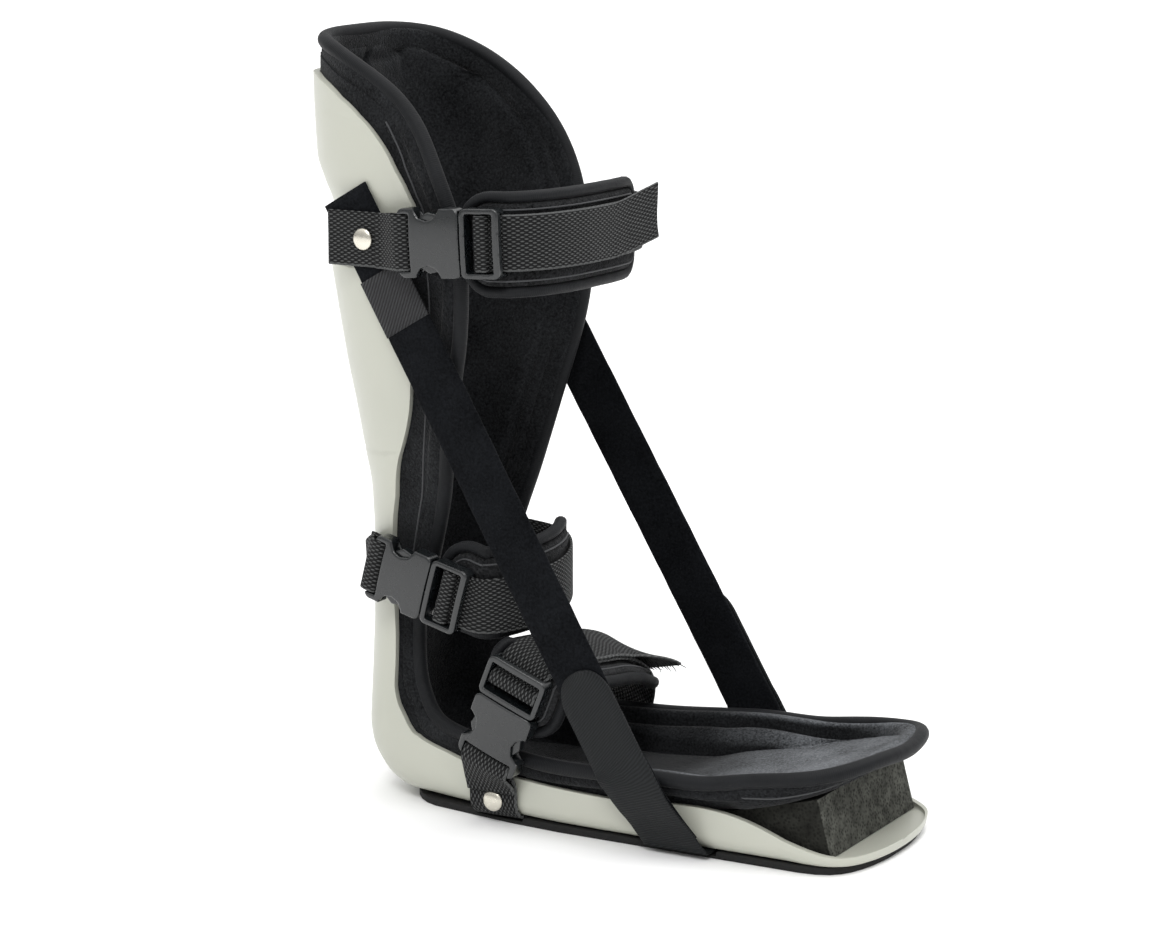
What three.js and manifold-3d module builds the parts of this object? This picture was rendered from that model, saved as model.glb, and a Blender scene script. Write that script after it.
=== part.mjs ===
// A night splint for the foot: a rigid L-shaped shell behind the calf and under the foot, a padded liner
// with a rolled edge, a foam wedge under the toes, three webbing straps with side-release buckles and pads,
// and two slanting tension straps from the calf to the forefoot.
// Millimetres. +X to the toes, -Y to the near side, +Z up. The origin is on the floor under the leg's axis.
import * as THREE from 'three';
import Module from 'manifold-3d';
import { mergeVertices } from 'three/addons/utils/BufferGeometryUtils.js';

const wasm = await Module();
wasm.setup();

// Sizes of the shell
const toeReach = 223;          // leg axis to the sole's front edge
const heelReach = 41.2;         // leg axis to the heel's back face
const soleHalfWidth = 51.5;
const calfHalfWidth = 60;
const ankleHeight = 115;       // where the leg's upright sections start
const shellHeight = 340;       // floor to the shell's top edge at the back
const calfBack = 67.5;         // leg axis to the shell's back face at the top
const footWall = 20;           // the tallest of the shell's side walls along the foot
const heelBend = 28;           // radius of the bend under the heel
const shellWall = 3;
const soleCorner = 7;          // radius between the sole and its side walls
const calfCorner = 46;         // radius between the calf's back and its side walls

// Sizes of the sole, the liner and the wedge
const treadThickness = 3.5;
const treadInset = 2.5;        // the tread's edge inside the shell's flat sole
const linerThickness = 7;
const linerOverlap = 2;        // how far the liner's wall stands above the shell's round the heel
const linerToe = 216.5;        // leg axis to the liner's front edge, without its binding
const bindingRadius = 5.3;
const wedgeBack = 106;         // leg axis to the wedge's thin end
const wedgeFront = 208;        // leg axis to the wedge's front face, at its foot
const wedgeHeight = 25.6;      // from its thin end to its front edge
const wedgeHalfWidth = soleHalfWidth - soleCorner;
const wedgeLean = 7;           // how far the front face leans back at its top

// Sizes of the straps
const gap = 0.3;
const webbing = 25;            // width
const webbingThickness = 1.5;
const softStrap = 25;          // width of the tension straps
const softThickness = 1.8;
const hookTab = 27;            // width of the hook tabs
const hookThickness = 1.2;
const padThickness = 6;
const padCorner = 13;
const padBinding = 2.6;        // radius of the pads' bound edge, along the pad
const rivetHead = 5;           // radius
const rivetShank = 1.9;        // radius
const rivetDome = 2.2;         // height of the head
const rimStep = 13;            // between the rings of the liner's rolled edge

// Sizes of a buckle: along is the strap's direction, deep is outward from the leg
const buckleWidth = 31;
const buckleDeep = 8;
const socketLength = 31;
const plugLength = 19.5;
const buckleWall = 1.5;
const buckleCorner = 3;
const fingerRadius = 6.6;
const fingerPlace = 0.52;      // share of the socket's length
const barWidth = 3;

const soleTop = treadThickness + gap;
const up = new THREE.Vector3(0, 0, 1);
const finishes = {
  shell: { color: 0xcfcfc6, roughness: 0.5, metalness: 0 },
  tread: { color: 0x1c1c1c, roughness: 0.9, metalness: 0 },
  fleece: { color: 0x1b1c1e, roughness: 0.95, metalness: 0 },
  binding: { color: 0x24262a, roughness: 0.8, metalness: 0 },
  foam: { color: 0x34342f, roughness: 0.95, metalness: 0 },
  webbing: { color: 0x1e1e20, roughness: 0.85, metalness: 0 },
  plastic: { color: 0x26282a, roughness: 0.45, metalness: 0 },
  hook: { color: 0x202224, roughness: 0.6, metalness: 0 },
  rivet: { color: 0xd8d4c4, roughness: 0.25, metalness: 1 },
};
const splint = new THREE.Group();

// Closed solids are built as points and triangles, and turned right side out by their volume.
class Solid {
  constructor() {
    this.points = [];
    this.faces = [];
  }

  add(point) {
    this.points.push(point);
    return this.points.length - 1;
  }

  quad(a, b, c, d) {
    this.faces.push(a, b, c, a, c, d);
  }

  strip(first, second) {
    for (let i = 0; i + 1 < first.length; i += 1) {
      this.quad(first[i], first[i + 1], second[i + 1], second[i]);
    }
  }

  fan(ring) {
    for (let i = 1; i + 1 < ring.length; i += 1) {
      this.faces.push(ring[0], ring[i], ring[i + 1]);
    }
  }

  volume() {
    let sum = 0;
    for (let i = 0; i < this.faces.length; i += 3) {
      const [a, b, c] = [0, 1, 2].map((k) => this.points[this.faces[i + k]]);
      sum += a.dot(new THREE.Vector3().crossVectors(b, c));
    }
    return sum / 6;
  }

  geometry() {
    if (this.volume() < 0) {
      this.faces.reverse();
    }
    const geometry = new THREE.BufferGeometry();
    const flat = this.points.flatMap((p) => [p.x, p.y, p.z]);
    geometry.setAttribute('position', new THREE.Float32BufferAttribute(flat, 3));
    geometry.setIndex(this.faces);
    return geometry;
  }
}

// A solid through rings of points: open ends are capped, a closed run of rings joins its last to its first.
function sweep(rings, closed = false) {
  const solid = new Solid();
  const ids = rings.map((ring) => ring.map((point) => solid.add(point)));
  const rows = closed ? [...ids, ids[0]] : ids;
  for (let i = 0; i + 1 < rows.length; i += 1) {
    solid.strip([...rows[i], rows[i][0]], [...rows[i + 1], rows[i + 1][0]]);
  }
  if (!closed) {
    solid.fan([...ids[0]].reverse());
    solid.fan(ids[ids.length - 1]);
  }
  return solid.geometry();
}

function toManifold(geometry) {
  const bare = geometry.clone();
  bare.deleteAttribute('normal');
  bare.deleteAttribute('uv');
  const merged = mergeVertices(bare, 1e-4);
  return new wasm.Manifold(new wasm.Mesh({
    numProp: 3,
    vertProperties: new Float32Array(merged.attributes.position.array),
    triVerts: new Uint32Array(merged.index.array),
  }));
}

function fromManifold(manifold) {
  const mesh = manifold.getMesh();
  const geometry = new THREE.BufferGeometry();
  geometry.setAttribute('position', new THREE.Float32BufferAttribute(mesh.vertProperties, 3));
  geometry.setIndex([...mesh.triVerts]);
  return geometry;
}

function cut(geometry, ...tools) {
  let body = toManifold(geometry);
  for (const tool of tools) {
    body = body.subtract(toManifold(tool));
  }
  return fromManifold(body);
}

function join(...parts) {
  const [first, ...rest] = parts.map(toManifold);
  return fromManifold(rest.reduce((body, part) => body.add(part), first));
}

function addPiece(name, geometry, finish) {
  const shown = geometry.index ? geometry.toNonIndexed() : geometry;
  shown.deleteAttribute('normal');
  shown.computeVertexNormals();
  const mesh = new THREE.Mesh(shown, new THREE.MeshStandardMaterial(finishes[finish]));
  mesh.name = name;
  splint.add(mesh);
}

function blockBetween(low, high) {
  const size = new THREE.Vector3().subVectors(high, low);
  const block = new THREE.BoxGeometry(size.x, size.y, size.z);
  const middle = new THREE.Vector3().addVectors(low, high).multiplyScalar(0.5);
  return block.translate(middle.x, middle.y, middle.z);
}

// The gutter: each section is a U in a plane across the foot or the leg. Its base is the shell's outer face
// on the middle plane, inward points from the base into the U, shell and liner are the depths of the walls.

// Foot, from the toes back. along: share of toeReach. half: share of soleHalfWidth. wall and rim: the tops
// of the shell's and the liner's walls above the shell's underside, as shares of footWall. corner: share of
// soleCorner. flare: how far the liner leans out above the shell, as a share of soleHalfWidth.
const footRows = [
  { along: 0.9990, half: 0.20, wall: 0.180, corner: 0.5 },
  { along: 0.9965, half: 0.34, wall: 0.190, corner: 0.5 },
  { along: 0.9910, half: 0.50, wall: 0.200, corner: 0.5 },
  { along: 0.9830, half: 0.64, wall: 0.205, corner: 0.55 },
  { along: 0.9730, half: 0.76, wall: 0.210, corner: 0.6 },
  { along: 0.9600, half: 0.85, wall: 0.220, corner: 0.6 },
  { along: 0.9420, half: 0.92, wall: 0.240, corner: 0.65 },
  { along: 0.9150, half: 0.97, wall: 0.290, corner: 0.7 },
  { along: 0.8800, half: 0.99, wall: 0.385, corner: 0.8 },
  { along: 0.8400, half: 1.0, wall: 0.530, corner: 1.0 },
  { along: 0.7950, half: 1.0, wall: 0.735, corner: 1.0 },
  { along: 0.7500, half: 1.0, wall: 0.875, corner: 1.0 },
  { along: 0.7050, half: 1.0, wall: 0.955, corner: 1.0, rim: 1.38, flare: 0.120 },
  { along: 0.6370, half: 1.0, wall: 1.000, corner: 1.0, rim: 1.43, flare: 0.135 },
  { along: 0.5600, half: 1.0, wall: 0.915, corner: 1.0, rim: 1.42, flare: 0.135 },
  { along: 0.4700, half: 1.0, wall: 0.845, corner: 1.0, rim: 1.32, flare: 0.120 },
  { along: 0.3400, half: 0.995, wall: 0.880, corner: 1.05, rim: 1.18, flare: 0.070 },
  { along: 0.2200, half: 0.96, wall: 0.960, corner: 1.2, rim: 1.17, flare: 0.030 },
  { along: 0.0900, half: 0.90, wall: 1.090, corner: 1.7, rim: 1.26, flare: 0.005 },
];

// Heel, from the sole up. turn: degrees round the bend under the heel. lean: degrees of inward from upright.
// half: share of soleHalfWidth. wall: share of footWall. corner: share of calfCorner.
const heelRows = [
  { turn: 0, lean: 17, half: 0.865, wall: 1.50, corner: 0.40 },
  { turn: 25, lean: 28, half: 0.855, wall: 1.88, corner: 0.50 },
  { turn: 45, lean: 35, half: 0.85, wall: 2.02, corner: 0.56 },
  { turn: 67, lean: 39, half: 0.85, wall: 2.00, corner: 0.60 },
  { turn: 90, lean: 43, half: 0.85, wall: 1.83, corner: 0.63 },
];

// Ankle, above the bend. rise: share of the way from the bend to ankleHeight. half: share of ankleHalf. The
// other columns as above.
const ankleRows = [
  { rise: 0.20, lean: 50, half: 1.010, wall: 1.62, corner: 0.63 },
  { rise: 0.42, lean: 60, half: 1.005, wall: 1.39, corner: 0.63 },
  { rise: 0.66, lean: 73, half: 1.000, wall: 1.23, corner: 0.63 },
];

// Leg, from the ankle up. height: share of shellHeight. back: share of calfBack. half: share of
// calfHalfWidth. edge and rim: the front edges of the shell's and the liner's walls, as shares of calfBack
// in front of the leg's axis. corner: share of calfCorner. flare: share of calfHalfWidth.
const legRows = [
  { height: 0.338, back: 0.593, half: 0.722, edge: -0.311, rim: -0.120, corner: 0.63 },
  { height: 0.430, back: 0.616, half: 0.750, edge: -0.262, rim: 0.022, corner: 0.70, flare: 0.02 },
  { height: 0.485, back: 0.665, half: 0.792, edge: -0.163, rim: 0.088, corner: 0.76, flare: 0.035 },
  { height: 0.545, back: 0.719, half: 0.842, edge: -0.045, rim: 0.153, corner: 0.83, flare: 0.05 },
  { height: 0.603, back: 0.770, half: 0.900, edge: 0.000, rim: 0.230, corner: 0.89, flare: 0.05 },
  { height: 0.662, back: 0.812, half: 0.947, edge: 0.030, rim: 0.301, corner: 0.93, flare: 0.05 },
  { height: 0.7425, back: 0.874, half: 0.990, edge: 0.059, rim: 0.340, corner: 0.98, flare: 0.05 },
  { height: 0.7485, back: 0.841, half: 0.953, edge: 0.062, rim: 0.338, corner: 0.94, flare: 0.05 },
  { height: 0.8160, back: 0.849, half: 0.958, edge: 0.074, rim: 0.263, corner: 0.94, flare: 0.05 },
  { height: 0.8500, back: 0.911, half: 0.990, edge: 0.045, rim: 0.208, corner: 0.98, flare: 0.05 },
  { height: 0.8850, back: 0.975, half: 1.000, edge: -0.059, rim: 0.142, corner: 1.00, flare: 0.04 },
  { height: 0.9150, back: 0.985, half: 1.000, edge: -0.170, rim: 0.033, corner: 1.00, flare: 0.02 },
  { height: 0.9450, back: 0.993, half: 1.000, edge: -0.307, rim: -0.088, corner: 1.00 },
  { height: 0.9680, back: 0.997, half: 1.000, edge: -0.444, rim: -0.230, corner: 1.00 },
  { height: 0.9850, back: 0.999, half: 1.000, edge: -0.614, rim: -0.384, corner: 1.00 },
  { height: 0.9960, back: 1.000, half: 1.000, edge: -0.833, rim: -0.515, corner: 1.00 },
  { height: 1.0100, back: 1.000, half: 1.000, rim: -0.680, corner: 1.00 },
  { height: 1.0200, back: 1.000, half: 1.000, rim: -0.860, corner: 1.00 },
];

// The liner ahead of the shell's walls, from its toe end back. along: share of linerToe. half: share of
// soleHalfWidth. wall: the height of its walls above its underside, as a share of footWall. lift: how far
// the toe end curls up, as a share of linerThickness.
const linerToeRows = [
  { along: 1.000, half: 0.24, wall: 0.10, lift: 0.62 },
  { along: 0.994, half: 0.42, wall: 0.10, lift: 0.58 },
  { along: 0.982, half: 0.60, wall: 0.11, lift: 0.48 },
  { along: 0.963, half: 0.76, wall: 0.12, lift: 0.34 },
  { along: 0.935, half: 0.89, wall: 0.14, lift: 0.18 },
  { along: 0.895, half: 0.98, wall: 0.17, lift: 0.07 },
  { along: 0.845, half: 1.04, wall: 0.24, lift: 0 },
  { along: 0.785, half: 1.05, wall: 0.38, lift: 0 },
];

const ankleHalf = legRows[0].half * calfHalfWidth;
const bendCentre = { x: heelBend - heelReach, z: soleTop + heelBend };

function direction(lean) {
  const angle = THREE.MathUtils.degToRad(lean);
  return { x: Math.sin(angle), z: Math.cos(angle) };
}

function between(value, lows, highs, low, high) {
  return low + (high - low) * (value - lows) / (highs - lows);
}

// A value of a table at a place between its rows.
function lookUp(rows, key, place, column) {
  const ordered = rows[0][key] < rows[rows.length - 1][key] ? rows : [...rows].reverse();
  if (place <= ordered[0][key]) {
    return ordered[0][column];
  }
  for (let i = 1; i < ordered.length; i += 1) {
    if (place <= ordered[i][key]) {
      const [a, b] = [ordered[i - 1], ordered[i]];
      return between(place, a[key], b[key], a[column], b[column]);
    }
  }
  return ordered[ordered.length - 1][column];
}

const shellSections = [
  ...footRows.map((row) => ({
    x: row.along * toeReach,
    z: soleTop,
    lean: 0,
    slant: 1,
    half: row.half * soleHalfWidth,
    corner: row.corner * soleCorner,
    depth: row.wall * footWall,
    rim: row.rim === undefined ? undefined : row.rim * footWall,
    flare: row.flare === undefined ? 0 : row.flare * soleHalfWidth,
  })),
  ...heelRows.map((row) => {
    const angle = THREE.MathUtils.degToRad(row.turn);
    return {
      x: bendCentre.x - heelBend * Math.sin(angle),
      z: bendCentre.z - heelBend * Math.cos(angle),
      lean: row.lean,
      slant: Math.cos(THREE.MathUtils.degToRad(row.turn - row.lean)),
      half: row.half * soleHalfWidth,
      corner: row.corner * calfCorner,
      depth: row.wall * footWall,
    };
  }),
  ...ankleRows.map((row) => ({
    x: -heelReach + row.rise * (heelReach - legRows[0].back * calfBack),
    z: bendCentre.z + row.rise * (ankleHeight - bendCentre.z),
    lean: row.lean,
    slant: Math.cos(THREE.MathUtils.degToRad(90 - row.lean)),
    half: row.half * ankleHalf,
    corner: row.corner * calfCorner,
    depth: row.wall * footWall,
  })),
  ...legRows.map((row) => ({
    x: -row.back * calfBack,
    z: row.height * shellHeight,
    lean: 90,
    slant: 1,
    half: row.half * calfHalfWidth,
    corner: row.corner * calfCorner,
    depth: row.edge === undefined ? undefined : (row.edge + row.back) * calfBack,
    rim: (row.rim + row.back) * calfBack,
    flare: row.flare === undefined ? 0 : row.flare * calfHalfWidth,
  })),
];

// The places of a wall's points: round the corner by angle, and above the corner by rise.
const arcSteps = 4;

function cornerRadius(section, inset, thickness) {
  return Math.max(section.corner - inset, thickness + 0.5);
}

function arcStops(radius, depth) {
  const whole = Math.acos(1 - Math.min(radius, 0.75 * depth) / radius);
  return evenly(0, whole, whole / arcSteps).map((angle) => ({ angle, rise: 0 }));
}

function levelStop(level, radius) {
  return level < radius
    ? { angle: Math.acos(1 - level / radius), rise: 0 }
    : { angle: Math.PI / 2, rise: level - radius };
}

// Points of a U from one wall's top round the base to the other's, on its outer and its inner face.
function profile(section, inset, thickness, stops, flare, flareFrom) {
  const bottomSteps = 1;
  const half = section.half - inset;
  const radius = cornerRadius(section, inset, thickness);
  const base = inset / section.slant;
  const extra = thickness / section.slant - thickness;
  const levelOf = ({ angle, rise }) => radius * (1 - Math.cos(angle)) + rise;
  const depth = levelOf(stops[stops.length - 1]);
  const side = stops.map((stop) => {
    const lean = flare * Math.max(0, (levelOf(stop) - flareFrom) / (depth - flareFrom)) ** 2;
    const place = (r, floor) => ({
      y: half - radius + r * Math.sin(stop.angle) + lean,
      n: floor + radius - r * Math.cos(stop.angle) + stop.rise,
    });
    return {
      outer: place(radius, base),
      inner: place(radius - thickness, base + extra * Math.cos(stop.angle)),
    };
  });
  const flat = [];
  for (let i = bottomSteps - 1; i >= 0; i -= 1) {
    const y = (half - radius) * i / bottomSteps;
    flat.push({
      outer: { y, n: base },
      inner: { y, n: base + thickness / section.slant },
    });
  }
  const right = [...side.reverse(), ...flat];
  const left = right.slice(0, -1).reverse();
  const mirror = ({ outer, inner }) => ({
    outer: { y: -outer.y, n: outer.n },
    inner: { y: -inner.y, n: inner.n },
  });
  return [...right.map(mirror), ...left];
}

function placed(section, point) {
  const inward = direction(section.lean);
  return new THREE.Vector3(section.x + inward.x * point.n, point.y, section.z + inward.z * point.n);
}

// A gutter through its sections' profiles, with the points of its two faces kept for what lies along it.
function gutter(sections, profiles) {
  const outer = profiles.map((list, i) => list.map((pair) => placed(sections[i], pair.outer)));
  const inner = profiles.map((list, i) => list.map((pair) => placed(sections[i], pair.inner)));
  const solid = new Solid();
  const outerIds = outer.map((row) => row.map((point) => solid.add(point)));
  const innerIds = inner.map((row) => row.map((point) => solid.add(point)));
  const last = sections.length - 1;
  for (let i = 0; i < last; i += 1) {
    solid.strip(outerIds[i], outerIds[i + 1]);
    for (let j = 0; j + 1 < innerIds[i].length; j += 1) {
      solid.quad(innerIds[i][j], innerIds[i + 1][j], innerIds[i + 1][j + 1], innerIds[i][j + 1]);
    }
  }
  const column = (grid, j) => grid.map((row) => row[j]);
  const end = outerIds[0].length - 1;
  solid.strip(column(outerIds, 0), column(innerIds, 0));
  solid.strip(column(innerIds, end), column(outerIds, end));
  solid.strip(innerIds[0], outerIds[0]);
  solid.strip(outerIds[last], innerIds[last]);
  return { geometry: solid.geometry(), outer, inner };
}

function buildShell() {
  const sections = shellSections.filter((section) => section.depth !== undefined);
  return gutter(sections, sections.map((section) => {
    const radius = cornerRadius(section, 0, shellWall);
    const stops = [...arcStops(radius, section.depth), levelStop(section.depth, radius)];
    return profile(section, 0, shellWall, stops, 0, 0);
  })).geometry;
}

// How high the wedge's top face, and the liner on it, lie above the shell's inner floor.
const wedgeSlope = wedgeHeight / (wedgeFront - wedgeLean - wedgeBack);
const wedgeEdge = 2 * gap;     // thickness of the wedge's thin end

function linerLift(x) {
  return Math.max(0, wedgeEdge + gap + wedgeSlope * (x - wedgeBack));
}

// The liner lies on the wedge ahead of the shell's walls, and inside the shell from there up.
const linerInset = shellWall + gap;

// The liner's walls have points at the same angles as the shell's beside them, and one at the shell's edge.
function linerStops(section, depth, lift) {
  const radius = cornerRadius(section, linerInset, linerThickness);
  const base = linerInset / section.slant;
  const beside = section.depth !== undefined && section.lean > 0;
  const arc = beside
    ? arcStops(cornerRadius(section, 0, shellWall), section.depth)
    : arcStops(radius, depth);
  const reached = radius * (1 - Math.cos(arc[arc.length - 1].angle));
  const edge = section.depth === undefined ? 0 : section.depth - base - lift;
  const first = edge > reached + 0.05 ? edge : reached + (depth - reached) / 3;
  return [...arc, ...[first, (first + depth) / 2, depth].map((level) => levelStop(level, radius))];
}

function linerSections() {
  const toe = linerToeRows.map((row) => {
    const x = row.along * linerToe;
    const section = {
      x,
      z: soleTop + linerLift(x) + row.lift * linerThickness,
      lean: 0,
      slant: 1,
      half: row.half * soleHalfWidth + linerInset,
      corner: soleCorner + linerInset,
    };
    return { section, stops: linerStops(section, row.wall * footWall, 0), flare: 0, flareFrom: 0 };
  });
  const nested = shellSections.slice(footRows.findIndex((row) => row.rim !== undefined));
  return [...toe, ...nested.map((section) => {
    const base = linerInset / section.slant;
    const shellDepth = section.depth === undefined ? 0 : section.depth;
    const lift = section.lean === 0 ? linerLift(section.x) : 0;
    const rim = section.rim === undefined ? section.depth + linerOverlap : section.rim;
    return {
      section: { ...section, z: section.z + lift },
      stops: linerStops(section, rim - base - lift, lift),
      flare: section.flare || 0,
      flareFrom: Math.max(0, shellDepth - base - lift + 1),
    };
  })];
}

function buildLiner() {
  const rows = linerSections();
  const profiles = rows.map((row) => (
    profile(row.section, linerInset, linerThickness, row.stops, row.flare, row.flareFrom)
  ));
  return gutter(rows.map((row) => row.section), profiles);
}

// A closed tube whose centres and thickness directions are given, with an oval section.
function edgeTube(stations, alongRadius, acrossRadius, sides) {
  const count = stations.length;
  const rings = stations.map(({ centre, across }, i) => {
    const before = stations[(i + count - 1) % count].centre;
    const after = stations[(i + 1) % count].centre;
    const tangent = new THREE.Vector3().subVectors(after, before).normalize();
    const thick = across.clone().addScaledVector(tangent, -across.dot(tangent)).normalize();
    const away = new THREE.Vector3().crossVectors(tangent, thick);
    return Array.from({ length: sides }, (_, k) => {
      const angle = 2 * Math.PI * (k + 0.5) / sides;
      return centre.clone()
        .addScaledVector(away, alongRadius * Math.cos(angle))
        .addScaledVector(thick, acrossRadius * Math.sin(angle));
    });
  });
  return sweep(rings, true);
}

// The rolled edge's centres run round the liner's rim, just off its edge.
function linerRim(liner) {
  const middle = (i, j) => new THREE.Vector3()
    .addVectors(liner.outer[i][j], liner.inner[i][j]).multiplyScalar(0.5);
  const last = liner.outer.length - 1;
  const end = liner.outer[0].length - 1;
  const offset = Math.sqrt(bindingRadius ** 2 - (linerThickness / 2) ** 2) + 5 * gap;
  const rim = [];
  const note = (i, j, inI, inJ) => rim.push({
    edge: middle(i, j),
    inside: middle(inI, inJ),
    across: new THREE.Vector3().subVectors(liner.inner[i][j], liner.outer[i][j]).normalize(),
  });
  for (let i = 1; i < last; i += 1) {
    note(i, 0, i, 1);
  }
  for (let j = 1; j < end; j += 1) {
    note(last, j, last - 1, j);
  }
  for (let i = last - 1; i > 0; i -= 1) {
    note(i, end, i, end - 1);
  }
  for (let j = end - 1; j > 0; j -= 1) {
    note(0, j, 1, j);
  }
  const spaced = rim.filter((item, i) => i === 0 || item.edge.distanceTo(rim[i - 1].edge) > 1.5);
  const count = spaced.length;
  const stations = [];
  spaced.forEach(({ edge, inside, across }, i) => {
    const before = spaced[(i + count - 1) % count].edge;
    const after = spaced[(i + 1) % count].edge;
    const tangent = new THREE.Vector3().subVectors(after, before).normalize();
    const away = new THREE.Vector3().subVectors(edge, inside).normalize();
    if (edge.x > 0.8 * linerToe) {
      away.x += 1.5 * Math.abs(tangent.y);
    }
    away.addScaledVector(tangent, -away.dot(tangent)).normalize();
    const centre = edge.clone().addScaledVector(away, offset);
    if (stations.every((station) => station.centre.distanceTo(centre) > 0.5 * rimStep)) {
      stations.push({ centre, across });
    }
  });
  const curve = new THREE.CatmullRomCurve3(stations.map((station) => station.centre), true, 'centripetal');
  curve.arcLengthDivisions = 1000;
  const rings = Math.round(curve.getLength() / rimStep);
  return Array.from({ length: rings }, (_, i) => {
    const centre = curve.getPointAt(i / rings);
    const [closest] = [...stations].sort((a, b) => (
      a.centre.distanceTo(centre) - b.centre.distanceTo(centre)
    ));
    return { centre, across: closest.across };
  });
}

function outlineShape(points) {
  return new THREE.Shape(points.map(([x, y]) => new THREE.Vector2(x, y)));
}

function treadHalf(x) {
  const half = lookUp(footRows, 'along', x / toeReach, 'half') * soleHalfWidth;
  return half - treadInset;
}

// The tread covers the flat of the sole, with grooves where webbing runs between it and the shell.
function buildTread(grooves) {
  const heelEnd = bendCentre.x - 0.3 * heelBend;
  const heelRound = 30;
  const places = [];
  for (let i = 0; i <= 8; i += 1) {
    const angle = (Math.PI / 2) * (i / 8);
    places.push([
      heelEnd + heelRound * (1 - Math.cos(angle)),
      Math.max(6, (treadHalf(heelEnd + heelRound) - treadInset) * Math.sin(angle)),
    ]);
  }
  for (const row of [...footRows].reverse().filter((item) => item.along * toeReach > heelEnd + 2 * heelRound)) {
    places.push([row.along * toeReach - treadInset, treadHalf(row.along * toeReach)]);
  }
  const near = places.map(([x, half]) => [x, -half]);
  const shape = outlineShape([...near, ...places.reverse()]);
  const sheet = new THREE.ExtrudeGeometry(shape, { depth: treadThickness, bevelEnabled: false });
  return cut(sheet, ...grooves);
}

function buildWedge() {
  const floor = soleTop + linerInset;
  const shape = outlineShape([
    [wedgeBack, floor],
    [wedgeFront, floor],
    [wedgeFront - wedgeLean, floor + wedgeEdge + wedgeHeight],
    [wedgeBack, floor + wedgeEdge],
  ]);
  const block = new THREE.ExtrudeGeometry(shape, { depth: 2 * wedgeHalfWidth, bevelEnabled: false });
  return block.rotateX(Math.PI / 2).translate(0, wedgeHalfWidth, 0);
}

// A strap's course: a smooth curve that lies on the outer face of the strap's pad, with the direction
// across the strap. A place on it is its length along the curve and its height outward from it.
class Course {
  constructor(points, acrossHint) {
    this.curve = new THREE.CatmullRomCurve3(points, false, 'centripetal');
    this.curve.arcLengthDivisions = 400;
    this.length = this.curve.getLength();
    this.hint = acrossHint;
    this.grid = [];
    for (let along = 0, step = 0; along < this.length; along += step) {
      this.grid.push(along);
      const here = this.frame(along).tangent;
      step = [14, 10, 7, 5].find((size) => here.angleTo(this.frame(along + size).tangent) < 0.25) || 4;
    }
  }

  frame(along) {
    const share = THREE.MathUtils.clamp(along / this.length, 0, 1);
    const at = this.curve.getPointAt(share);
    const tangent = this.curve.getTangentAt(share);
    const across = this.hint.clone().addScaledVector(tangent, -this.hint.dot(tangent)).normalize();
    const outward = new THREE.Vector3().crossVectors(tangent, across);
    return { at, tangent, across, outward };
  }

  place(along, height, aside = 0) {
    const { at, across, outward } = this.frame(along);
    return at.addScaledVector(outward, height).addScaledVector(across, aside);
  }

  // Places from one to another, closer together where the curve bends.
  stations(from, to) {
    return [from, ...this.grid.filter((along) => along > from + 1 && along < to - 1), to];
  }

  matrix(along, height) {
    const { at, tangent, across, outward } = this.frame(along);
    at.addScaledVector(outward, height);
    return new THREE.Matrix4().makeBasis(tangent, across, outward).setPosition(at);
  }
}

// A flat strip of webbing through places, each with its width and the direction across it. At a level place
// that direction is kept as it is, so the strip runs askew to it.
function strip(places, thickness) {
  const rings = places.map(({ at, across, width, level }, i) => {
    const before = places[Math.max(0, i - 1)].at;
    const after = places[Math.min(places.length - 1, i + 1)].at;
    const tangent = new THREE.Vector3().subVectors(after, before).normalize();
    const wide = across.clone();
    if (!level) {
      wide.addScaledVector(tangent, -across.dot(tangent)).normalize();
    }
    const thick = new THREE.Vector3().crossVectors(tangent, wide).normalize();
    const corner = (a, b) => at.clone()
      .addScaledVector(wide, a * width / 2)
      .addScaledVector(thick, b * thickness / 2);
    return [corner(-1, -1), corner(1, -1), corner(1, 1), corner(-1, 1)];
  });
  return sweep(rings);
}

function alongCourse(course, stations, width) {
  return stations.map(([along, height, aside]) => ({
    at: course.place(along, height, aside || 0),
    across: course.frame(along).across,
    width,
  }));
}

function evenly(from, to, step) {
  const count = Math.max(1, Math.round(Math.abs(to - from) / step));
  return Array.from({ length: count + 1 }, (_, i) => from + (to - from) * i / count);
}

// A pad under a strap, with rounded corners and softened edges, and its bound edge. A pad has the places
// along its course where its body starts and ends, its width, and how far it lies aside of the strap.
function padOutlineWidth({ from, to, width }, along) {
  const inside = Math.min(along - from, to - along);
  const corner = padCorner - padBinding;
  const half = width / 2 - 2 * padBinding;
  if (inside >= corner) {
    return half;
  }
  return half - corner + Math.sqrt(corner ** 2 - (corner - inside) ** 2);
}

function buildPad(course, pad) {
  const soft = padThickness / 4;
  const corner = padCorner - padBinding;
  const bends = [0.02, 0.25, 0.6].map((share) => share * corner);
  const places = [
    ...bends.map((step) => pad.from + step),
    ...course.stations(pad.from + corner, pad.to - corner),
    ...bends.map((step) => pad.to - step).reverse(),
  ];
  const rings = places.map((along) => {
    const half = padOutlineWidth(pad, along);
    const low = -padThickness - gap;
    const top = -4 * gap;
    const points = [
      [-half, low + soft], [-half + soft, low], [half - soft, low], [half, low + soft],
      [half, top - soft], [half - soft, top], [-half + soft, top], [-half, top - soft],
    ];
    return points.map(([aside, height]) => course.place(along, height, aside + pad.aside));
  });
  return sweep(rings);
}

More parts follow.
